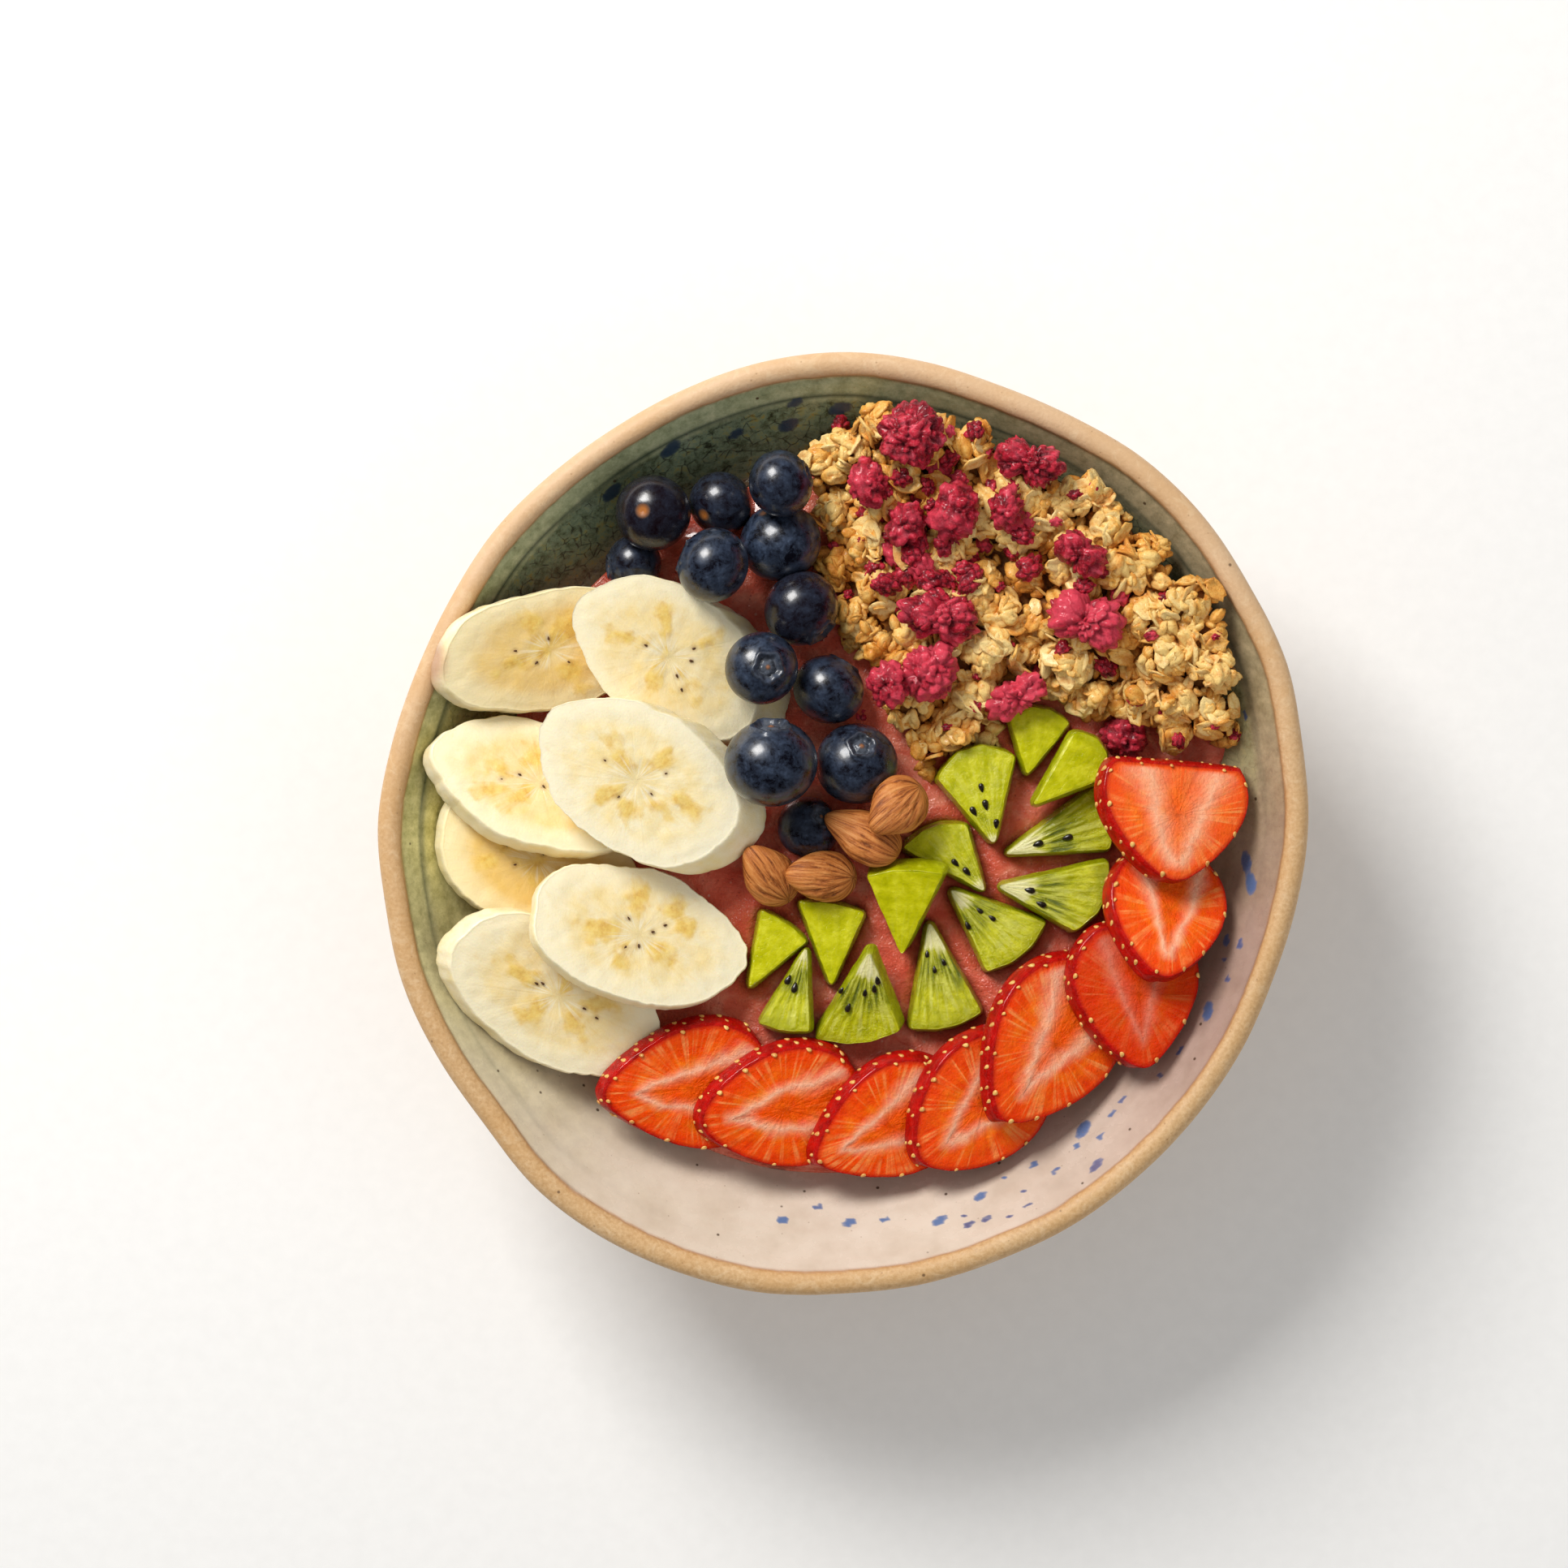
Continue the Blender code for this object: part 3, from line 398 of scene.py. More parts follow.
class Slice:
    """A slice cut flat, as a fine mesh on its CAD solid: its rings of points and where each point lies."""

    def __init__(self, name, heading, curve, shares, profile, tuck=0.0):
        points, triangles = cad_shape(name)
        self.name = name
        top, self.normal = flat_outline(points, triangles, np.array([0, 0, 1.0]))
        base, _ = flat_outline(points, triangles, -self.normal)
        self.top = curve(top)
        self.middle = self.top.mean(0)
        flat = polar(1, math.radians(heading), 0)
        self.along = unit(flat - (flat @ self.normal) * self.normal)
        self.across = np.cross(self.normal, self.along)
        self.outward = unit(np.cross(np.roll(self.top, -1, 0) - np.roll(self.top, 1, 0), self.normal))
        # The side that faces the lower right is tucked in under the cut, as on a slice that leans.
        self.hidden = band(self.outward @ [0.8, -0.6, 0], -0.25, 0.35)
        self.base = self.under(curve(base[::-1])) - self.outward * (tuck * self.hidden)[:, None]
        rows = [(self.middle + (self.top - self.middle) * part, part, 0) for part in shares]
        for level, swell in profile:
            swell = (swell * (1 - 0.7 * self.hidden * (tuck > 0)))[:, None]
            rows.append((self.top * (1 - level) + self.base * level + self.outward * swell, 1, level))
        below = self.base.mean(0)
        rows += [(below + (self.base - below) * part, part, 2) for part in (0.97, 0.8, 0.5, 0.2)]
        rings, share, depth = zip(*rows)
        self.rings = np.array(rings)
        size = self.rings.shape[:2]
        self.share = np.broadcast_to(np.array(share, float)[:, None], size)
        self.depth = np.broadcast_to(np.array(depth, float)[:, None], size)
        self.flat = self.local(self.rings)
        self.seed = np.array([self.middle[0] * 3.1, self.middle[1] * 2.7, 0])

    def under(self, base):
        """The base's outline, with a point in the same direction from its middle as each of the cut's."""
        middle = base.mean(0)
        flat = self.local(base) - self.local(middle)
        bearing = np.arctan2(flat[:, 1], flat[:, 0])
        order = np.argsort(bearing)
        cut = self.local(self.top)
        ways = np.arctan2(cut[:, 1], cut[:, 0])
        reach = np.interp(ways, bearing[order], np.linalg.norm(flat, axis=1)[order], period=math.tau)
        return middle + polar(reach, ways, 0)[:, :2] @ [self.along, self.across]

    def local(self, points):
        """Places on the cut, in millimetres along and across its heading from its middle."""
        moved = points - self.middle
        return np.stack([moved @ self.along, moved @ self.across], -1)

    def place(self, deepness):
        """Where each point lies for noise, with the depth down the side drawn out."""
        return np.concatenate([self.flat, self.depth[..., None] * deepness], -1) + self.seed

    def at(self, x, y):
        """The point of the cut straight under a place seen from above."""
        drop = (x - self.middle[0]) * self.normal[0] + (y - self.middle[1]) * self.normal[1]
        return np.array([x, y, self.middle[2] - drop / self.normal[2]])

    def raise_face(self, height):
        """Moves the points of the cut along its normal, by millimetres for each point."""
        self.rings = self.rings + (height * (self.depth == 0))[..., None] * self.normal

    def push_out(self, height):
        self.rings = self.rings + height[..., None] * self.outward

    def piece(self, material, masks, slot):
        """The flat places are those of the cut and its side, and the rim places those of the nearest rim."""
        rim = np.append(self.local(self.top), np.zeros((len(self.top), 1)), 1) + self.seed
        masks = {
            **masks,
            "flat": self.place(6),
            "rim": np.broadcast_to(rim, self.rings.shape),
            "share": self.share,
            "side": np.clip(self.depth * 9, 0, 1),
        }
        add_rings(self.name + "_cut", self.rings, material, masks, self.name)


def add_seeds(slot, rows, size, grain, colours, roughness, relief, tinted=None, **settings):
    """Drop-shaped seeds from rows of a middle, the way the tip points and a normal."""
    paint = Paint(slot + "_seed", **settings)
    grain = paint.place("spot").noise(grain, 3)
    colour = grain.ramp(*colours)
    if tinted:
        colour = mix(paint.masks("tint")[0] * 0.45, colour, tinted)
    ball, faces, _ = ball_mesh(2)
    drop = ball / 2 * (1 - 0.45 * ball[:, :1]) ** [0, 1, 1]
    bodies = []
    for number, (place, way, normal) in enumerate(rows):
        way = unit(way - (way @ normal) * normal)
        scale = np.array(size) * (1 + 0.2 * math.sin(number * 12.9))
        points = place + (drop * scale) @ np.array([way, np.cross(normal, way), normal])
        bodies.append((points, faces, {"tint": 0.5 + 0.5 * math.sin(number * 7.7)}))
    add_bodies(slot + "_seeds", bodies, paint.finish(colour, grain.ramp(*roughness), grain, relief))


# ---- the bowl ----

# Blue and violet blotches in the glaze: bearing, height, length, violet share.
BLOTCHES = (
    (332.7, 53.9, 4.2, 0.2), (308.2, 48.8, 4.6, 0.1), (309.4, 52.4, 2.2, 0.2), (306.0, 50.7, 2.2, 0.0),
    (299.3, 48.9, 2.6, 0.0), (306.5, 56.8, 3.8, 0.9), (290.3, 50.2, 3.2, 0.0), (283.7, 52.3, 3.6, 0.0),
    (287.4, 55.0, 2.6, 0.9), (289.9, 55.2, 2.4, 0.9), (301.5, 52.5, 1.8, 0.3), (312.8, 50.4, 2.2, 0.3),
    (315.3, 49.9, 2.0, 0.8), (338.1, 55.0, 1.8, 0.9), (340.5, 52.6, 1.3, 0.8), (326.0, 52.9, 2.0, 0.4),
    (321.5, 52.6, 2.0, 0.9), (294.3, 48.8, 1.6, 0.0), (296.4, 52.8, 1.7, 0.8), (293.2, 56.5, 1.8, 0.9),
    (295.8, 56.1, 1.6, 0.9), (287.2, 52.9, 1.4, 0.9), (261.5, 49.5, 2.8, 0.0), (271.0, 49.8, 3.0, 0.0),
    (276.0, 49.8, 2.3, 0.0), (266.3, 46.6, 2.4, 0.3), (114.6, 54.0, 5.4, 0.1), (105.2, 51.3, 3.8, 0.0),
    (97.8, 50.3, 4.8, 0.2), (90.3, 52.7, 5.0, 0.1), (96.5, 54.6, 3.6, 0.3), (124.9, 52.6, 5.2, 0.0),
    (52.5, 54.8, 3.0, 0.7), (15.0, 53.5, 2.2, 0.5), (351.6, 53.7, 4.8, 0.1), (354.5, 51.9, 4.2, 0.3),
    (343.0, 51.8, 2.8, 0.5), (343.1, 54.9, 2.6, 0.8), (210.0, 51.0, 1.6, 0.2),
)
# How green, dark and mauve the glaze is: bearing, share, bearing, share.
GREEN = (
    0, 0.18, 12, 0.4, 25, 0.72, 60, 0.95, 100, 1, 150, 1, 180, 0.9, 198, 0.55, 212, 0.28, 235, 0.06, 270, 0,
    330, 0.03, 345, 0.06, 360, 0.18,
)
DARK = (
    0, 0.12, 16, 0.45, 32, 0.95, 70, 0.95, 110, 1, 145, 1, 160, 0.6, 176, 0.08, 205, 0, 300, 0, 340, 0.02,
    360, 0.12,
)
MAUVE = (0, 1, 14, 0.9, 30, 0.7, 60, 0.7, 84, 0, 285, 0, 308, 0.35, 330, 0.85, 360, 1)
# Height from one ring of the throwing to the next.
THROWING_PITCH = 4.6
# Radius at which the blotches are laid out.
GLAZE_RADIUS = 90


def round_table(angle, table):
    """The value at each angle, from a table of bearings and values."""
    return np.interp(np.degrees(angle), table[::2], table[1::2])


def rim_swell(angle):
    """How far the thrown rim stands out at each angle, on a smooth closed curve."""
    place = (angle / math.tau * len(RIM_SWELL)) % len(RIM_SWELL)
    here = np.floor(place).astype(int)
    sides = (np.array(RIM_SWELL)[(here + step) % len(RIM_SWELL)] for step in (-1, 0, 1, 2))
    return curve_between(*sides, place - here)


def spread(angle, height):
    """How many times wider the thrown bowl is than a turned one."""
    return 1 + rim_swell(angle) / RIM_RADIUS * np.maximum(height / HEIGHT, 0) ** SWELL_POWER


def inner_radius(height):
    return INNER_RIM_RADIUS * np.maximum((height - FLOOR_TOP) / (LIP_HEIGHT - FLOOR_TOP), 0) ** INNER_CURVE


def outer_radius(height):
    return RIM_RADIUS * ((height - OUTER_BASE) / (LIP_HEIGHT - OUTER_BASE)) ** OUTER_CURVE


def bowl_outline():
    """From the middle of the floor over the rim to the middle below: radius, height, and 1 on the inside."""
    levels = [9.2, 12.0, 18.5, 30.0, 38.0, 41.5, *np.arange(43.0, LIP_HEIGHT, 0.62)]
    rows = [(2.0, FLOOR_TOP, 1)] + [(inner_radius(level), level, 1) for level in levels]
    middle, half = (RIM_RADIUS + INNER_RIM_RADIUS) / 2, (RIM_RADIUS - INNER_RIM_RADIUS) / 2
    for turn in np.linspace(math.pi, 0, 15):
        rows.append((middle + half * math.cos(turn), LIP_HEIGHT + (HEIGHT - LIP_HEIGHT) * math.sin(turn), 0))
    rows += [(outer_radius(level), level, 0) for level in np.arange(58.7, 13.0, -1.5)]
    rows.append((outer_radius(13.0), 12.6, 0))
    foot = ((3, 8.6), (1, 7.4), (0.6, 6.4), (0.2, 3.6), (0, 0.8), (-0.25, 0.22), (-0.8, 0))
    rows += [(FOOT_RADIUS + out, level, 0) for out, level in foot]
    recess = ((0.6, 0), (-0.2, 0.5), (-1.2, FOOT_RECESS - 0.6), (-2.2, FOOT_RECESS))
    rows += [(FOOT_RADIUS - FOOT_WIDTH + out, level, 0) for out, level in recess]
    rows += [(radius, FOOT_RECESS, 0) for radius in (22.0, 10.0, 2.0)]
    return np.array(rows)


def build_bowl():
    """The bowl turned at a fine step, with throwing rings, and masks for its glaze and blotches."""
    rows = bowl_outline()
    radius, height, inside = rows.T[..., None]
    angle = np.arange(440) / 440 * math.tau
    around = polar(GLAZE_RADIUS, angle, height)
    rings = height / THROWING_PITCH * math.tau + angle
    wall = band(height, 9.5, 14) * (1 - inside) * band(LIP_HEIGHT - height, -1, 3)
    uneven = wall * (0.10 * np.sin(rings) + 0.04 * np.sin(rings * 2 + 1) + 0.12 * cloud(around, 14, 3))
    wander = 0.5 * cloud(around, 12, 7)
    crease = bell(height + wander - 55.2, 0.55)
    inner_wall = inside * band(height, 43, 46) * band(LIP_HEIGHT - height, -0.4, 1)
    ripple = 0.05 * np.sin(height / 3.1 * math.tau)
    uneven += inner_wall * (0.10 * crease + ripple + 0.10 * cloud(around, 11, 5))
    lip = bell(height - HEIGHT, 2.2)
    radius = (radius + uneven + lip * 0.07 * cloud(around, 5, 9)) * spread(angle, height)
    wave = smooth((height - SMOOTHIE_TOP) / (HEIGHT - SMOOTHIE_TOP)) * np.cos(2 * angle - RIM_WAVE_TURN)
    points = polar(radius, angle, height + RIM_WAVE * wave + lip * (0.10 * cloud(around, 9, 11) - 0.1))

    # The glaze stops just inside the lip, on a slightly uneven line.
    edge = np.arange(len(rows))[:, None] - (inside.sum() + 1.2)
    edge = edge + 0.9 * cloud(around * [1, 1, 0], 6, 13) + 0.5 * cloud(around * [1, 1, 0], 1.6, 14)
    blue, violet = np.zeros((2, *edge.shape))
    for bearing, level, long, share in BLOTCHES:
        sideways = np.radians((np.degrees(angle) - bearing + 180) % 360 - 180) * GLAZE_RADIUS
        upward = (height - level) * 1.35 + 0.25 * sideways
        reach = np.hypot(sideways / 0.52, upward / 0.34) / long + 0.16 * cloud(around, 1.6, int(bearing))
        spot = (1 - band(reach, 0.45, 1.55)) * inside
        blue = np.maximum(blue, spot)
        violet = np.maximum(violet, spot * share)
    masks = {
        "spot": points,
        "green": round_table(angle, GREEN),
        "dark": round_table(angle, DARK),
        "mauve": round_table(angle, MAUVE),
        "blue": blue,
        "violet": violet,
        "glaze": band(-edge, -0.6, 0.6),
        "seam": bell(edge, 0.9),
        "depth": band(55.0 + wander - height, -0.4, 1.8) * inside,
        "crease": crease * inside,
        "foot": band(11 - height, 0, 3) * (1 - inside),
    }
    add_rings("bowl_thrown", points, stoneware_paint(), masks, "bowl")


def stoneware_paint():
    paint = Paint("stoneware", Coat_Weight=0.0, Specular_IOR_Level=0.5)
    spot = paint.place("spot")
    green, dark, mauve, blue, violet = paint.masks("green", "dark", "mauve", "blue", "violet")
    glazed, seam, depth, crease, foot = paint.masks("glaze", "seam", "depth", "crease", "foot")
    grain, cloudy, mottle = spot.noise(0.8, 5, 0.65), spot.noise(9, 4, 0.6), spot.noise(3.0, 6, 0.75)
    speck = spot.cells(2.6).ramp(0.04, 1.0, 0.10, 0.0)
    clay = layered(
        grain.ramp(0.30, (188, 148, 100), 0.50, (205, 167, 119), 0.72, (220, 186, 141)),
        (green * 0.5, (202, 160, 112)),
        # Partly painted light: the clay is lighter, as well as pinker, on the far side, where the rim catches
        # the light.
        (dark * 0.5, (224, 192, 160)),
        (spot.noise(16, 3, 0.6).ramp(0.38, 0.0, 0.7, 0.40), (206, 158, 98)),
        (spot.noise(5.0, 4, 0.7, 1.5).ramp(0.52, 0.0, 0.66, 0.30), (232, 206, 168)),
        (speck * 0.45, (140, 96, 54)),
        (spot.cells(8.5).ramp(0.03, 1.0, 0.055, 0.0) * 0.75, (84, 56, 34)),
        (foot * 0.35, (190, 140, 92)),
    )
    deep = (
        0.32, (44, 48, 32), 0.42, (88, 100, 74), 0.53, (116, 132, 108), 0.62, (132, 134, 86),
        0.72, (152, 116, 52),
    )
    olive = green * depth.ramp(0.0, 0.75, 1.0, 1.0) * (1.0 - dark)
    brown = mauve * green * depth.ramp(0.0, 0.9, 1.0, 0.25)
    deeper = dark * depth
    crackle = spot.cells(2.8, "DISTANCE_TO_EDGE").ramp(0.0, 1.0, 0.07, 0.0)
    crackle = crackle * spot.noise(2.0, 2).ramp(0.42, 0.0, 0.56, 1.0)
    ink = mix(dark * 0.9, mix(violet, (84, 112, 160), (88, 82, 120)), (30, 48, 60))
    glaze = layered(
        cloudy.ramp(0.3, (206, 188, 170), 0.5, (216, 199, 182), 0.7, (222, 206, 190)),
        (mauve, cloudy.ramp(0.3, (150, 116, 108), 0.7, (172, 138, 130))),
        (green, mottle.ramp(0.34, (134, 142, 106), 0.5, (164, 172, 134), 0.66, (190, 194, 156))),
        (deeper.ramp(0.1, 0.0, 0.6, 1.0), mottle.ramp(*deep)),
        (olive * 0.8, mottle.ramp(0.35, (186, 174, 72), 0.65, (246, 232, 140))),
        (brown, mottle.ramp(0.35, (112, 82, 58), 0.65, (160, 122, 92))),
        (crackle * deeper * 0.85, (26, 24, 12)),
        # Painted shade: a dark line along the crease under the pale band.
        (crease * green * 0.85, (30, 52, 42)),
        (blue.ramp(0.36, 0.0, 0.56, 0.72, 0.8, 0.95), ink),
        (spot.cells(6.0).ramp(0.045, 1.0, 0.08, 0.0) * 0.9, (70, 50, 32)),
        (spot.cells(3.4).ramp(0.03, 1.0, 0.07, 0.0) * 0.45, (130, 104, 76)),
    )
    colour = layered(clay, (glazed, glaze), (seam * 0.6, (176, 118, 60)))
    roughness = mix(glazed, grain.ramp(0.3, 0.42, 0.7, 0.62), cloudy.ramp(0.3, 0.20, 0.7, 0.32))
    return paint.finish(colour, roughness, grain * (1.0 - glazed) + cloudy * 0.25 - speck * 0.2, 0.12)


# ---- the smoothie ----

# How far the smoothie's edge has sunk below its level: bearing, drop, bearing, drop.
EDGE_DROP = (
    0, 3.2, 6, 0.8, 11, -4.0, 17, -4.6, 24, -2.0, 34, 0.4, 70, 0.6, 95, 2.0, 106, 4.6, 160, 4.8, 205, 4.0,
    225, 4.8, 290, 4.8, 320, 3.8, 360, 3.2,
)
SMOOTHIE_LEVEL = SMOOTHIE_TOP + 0.3
# The smoothie stays this far under the toppings that lie in it.
FILM = 0.03


def build_smoothie(toppings):
    """A glossy surface that rises against the wall and round whatever lies in it."""
    shares = np.concatenate([np.linspace(0.03, 0.9, 50), np.linspace(0.912, 1.0, 12)])[:, None]
    angle = np.arange(240) / 240 * math.tau
    drop = round_table(angle, EDGE_DROP) + 0.5 * cloud(polar(60, angle, 0), 11, 22)
    edge = inner_radius(SMOOTHIE_LEVEL - drop) + 0.25
    radius = edge * spread(angle, SMOOTHIE_LEVEL - drop) * shares
    points = polar(radius, angle, SMOOTHIE_LEVEL)
    rest = 0.30 * clouds(points, 11, 21) + 0.10 * clouds(points, 3.2, 25)
    rest += 0.5 * np.exp(-(edge * (1 - shares)) / 1.2)
    rest += 1.5 * (1 - band(radius, 58, 68)) - drop * band(radius, edge * 0.87, edge)
    ceiling = np.full(rest.shape, 9.0)
    for place in np.ndindex(rest.shape):
        hit = toppings.ray_cast(Vector(points[place] - [0, 0, 1]), Vector((0, 0, 1)), 4.0)
        if hit[0]:
            ceiling[place] = hit[3] - 1
    covered = ceiling < 4
    lifted = np.where(ceiling < 1.6, ceiling - FILM, np.minimum(rest, ceiling - FILM))
    for _ in range(3):
        blurred = (np.roll(lifted, 1, 1) + np.roll(lifted, -1, 1) + 2 * lifted) / 4
        blurred[1:-1] = (blurred[:-2] + blurred[2:] + 2 * blurred[1:-1]) / 4
        lifted = np.where(covered, np.minimum(blurred, ceiling - FILM), np.maximum(blurred, rest * 0.6))
    points[..., 2] += lifted
    near = [toppings.find_nearest(Vector(point))[3] for point in points.reshape(-1, 3)]
    shade = (1 - band(np.reshape(near, rest.shape), 0.1, 2.4)) ** 1.5
    levels = (38.5, 30.0, 12.0, 9.2)
    sunk = [polar((inner_radius(level) - 0.35) * spread(angle, level), angle, level) for level in levels]
    rings = np.concatenate([points, sunk])

    paint = Paint(
        "smoothie", Subsurface_Weight=0.15, Subsurface_Scale=0.003, Subsurface_Radius=(1.0, 0.4, 0.3),
        Specular_IOR_Level=0.5, Coat_Weight=0.9, Coat_Roughness=0.05,
    )
    spot = paint.place("spot")
    streak = spot.noise(7, 4, 0.6, 0.6)
    colour = layered(
        streak.ramp(0.3, (206, 80, 60), 0.5, (224, 104, 80), 0.68, (236, 138, 112)),
        (spot.cells(2.1).ramp(0.06, 1.0, 0.14, 0.0) * 0.45, (130, 30, 40)),
        (spot.cells(3.7).ramp(0.05, 1.0, 0.11, 0.0) * 0.5, (236, 178, 160)),
        (paint.masks("shade")[0] * 0.62, (156, 46, 32)),
    )
    relief = spot.noise(2.6, 4, 0.6) + spot.noise(0.6, 2) * 0.3
    material = paint.finish(colour, streak.ramp(0.35, 0.10, 0.7, 0.22), relief, 0.8)
    masks = {"spot": rings, "shade": np.pad(shade, ((0, len(levels)), (0, 0)))}
    add_rings("smoothie_surface", rings, material, masks, "smoothie")


# ---- banana slices ----

# The heading of each slice and how golden it is, its golden patches (x, y, radius) and dark seeds (x, y).
BANANAS = {
    1: (8, 0.8), 2: (-34, 0.3), 3: (-18, 0.45), 4: (-31, 0.12), 5: (-22, 1.0), 6: (-12, 0.2), 7: (-33, 0.3),
}
BANANA_PATCHES = {
    1: ((-66.6, 42.3, 4.2), (-70.9, 34.0, 4.8), (-58.7, 32.6, 4.4), (-60.5, 41.3, 4.6), (-65.0, 37.0, 3.4)),
    2: ((-46.8, 40.2, 4.4), (-37.6, 42.8, 4.6), (-29.0, 39.3, 4.4), (-34.1, 29.7, 4.6), (-40.0, 32.6, 4.4)),
    3: ((-72.9, 10.5, 4.2), (-67.1, 14.0, 4.4), (-69.8, 6.0, 4.4), (-76.0, 7.4, 3.4)),
    4: (
        (-47.9, 15.2, 4.8), (-39.9, 13.4, 4.6), (-50.9, 6.4, 4.2),
        (-46.2, 2.6, 4.4), (-33.9, 4.4, 4.6), (-39.0, 3.4, 3.6),
    ),
    5: ((-71.8, -5.9, 4.2), (-66.5, -9.3, 4.8), (-77.0, -8.1, 4.4), (-61.2, -6.2, 4.2), (-59.5, -11.6, 4.0)),
    6: (
        (-53.0, -22.3, 4.6), (-44.0, -16.9, 4.4), (-35.9, -17.4, 4.4),
        (-33.4, -22.4, 4.0), (-40.0, -27.5, 4.4), (-47.6, -28.3, 4.2),
    ),
    7: ((-69.2, -32, 4.4), (-66.1, -40, 4.4), (-59.2, -33.5, 4.4), (-52.8, -39, 4.4), (-57.5, -44, 4.2)),
}
BANANA_SEEDS = {
    1: ((-70.4, 37.1), (-63.4, 39.9), (-59.1, 34.8), (-66.0, 34.6)),
    2: ((-32.1, 37.8), (-32.7, 35.1), (-35.8, 31.8), (-34.8, 28.8), (-42.5, 38.4)),
    3: ((-69.6, 10.6), (-64.4, 8.0), (-73.4, 9.6)),
    4: ((-51.0, 13.6), (-48.1, 5.8), (-41.1, 6.4), (-38.0, 10.8)),
    5: ((-72.7, -4.8), (-64.7, -6.6), (-70.9, -8.9)),
    6: ((-46.1, -20.3), (-40.9, -23.3), (-38.3, -21.9), (-46.8, -26.5), (-43.9, -26.3)),
    7: ((-66.0, -34.4), (-64.7, -34.4), (-55.8, -40.0), (-53.2, -42.1)),
}
# How far down the side each ring lies, and how far out.
BANANA_SIDE = (
    (0.012, 0.16), (0.04, 0.34), (0.09, 0.5), (0.2, 0.58), (0.4, 0.62), (0.6, 0.64), (0.8, 0.6), (0.92, 0.46),
    (0.98, 0.2), (1.0, 0.0),
)


def banana_paint():
    paint = Paint(
        "banana_flesh", Subsurface_Weight=0.12, Subsurface_Scale=0.002, Subsurface_Radius=(1.0, 0.75, 0.4),
        Specular_IOR_Level=0.45, Coat_Weight=0.25, Coat_Roughness=0.16,
    )
    flat, rim = paint.place("flat"), paint.place("rim")
    share, ripe, gold, side, brown, seedy = paint.masks("share", "ripe", "gold", "side", "brown", "seedy")
    fibre, soft = rim.noise(1.3, 3, 0.6), flat.noise(4.5, 4, 0.6)
    patch = gold + (fibre * 0.4 + 0.3 + flat.noise(2.4, 4, 0.65, 0.8) - 1.0) * 0.8
    star = share.ramp(0.05, 0.0, 0.12, 1.0, 0.24, 0.7, 0.36, 0.0)
    star = star * rim.noise(3.2, 2, 0.5).ramp(0.5, 0.0, 0.6, 1.0)
    golden = flat.noise(2.2, 4, 0.65).ramp(0.34, (222, 174, 70), 0.5, (238, 200, 98), 0.66, (246, 216, 122))
    colour = layered(
        soft.ramp(0.32, (253, 231, 170), 0.52, (255, 239, 192), 0.7, (255, 246, 212)),
        (fibre.ramp(0.45, 0.0, 0.64, 1.0) * 0.12, (232, 202, 134)),
        (ripe * share.ramp(0.6, 1.0, 0.99, 0.3) * 0.8, (236, 192, 92)),
        (share.ramp(0.66, 0.0, 0.80, 0.55, 0.97, 0.85), mix(ripe * 0.7, (255, 247, 220), (251, 228, 160))),
        (share.ramp(0.0, 0.75, 0.14, 0.55, 0.36, 0.0), (240, 220, 164)),
        (patch.ramp(0.06, 0.0, 0.40, 0.42, 0.9, 0.85), golden),
        (star * 0.5, (255, 248, 226)),
        (side, flat.noise(5.0, 4, 0.65).ramp(0.35, (246, 228, 172), 0.6, (252, 240, 204))),
        (brown, (178, 122, 82)),
        (seedy * 0.6, (140, 92, 48)),
    )
    relief = fibre * 0.6 + flat.noise(0.6, 4, 0.7)
    return paint.finish(colour, soft.ramp(0.35, 0.28, 0.65, 0.44), relief, 0.10)


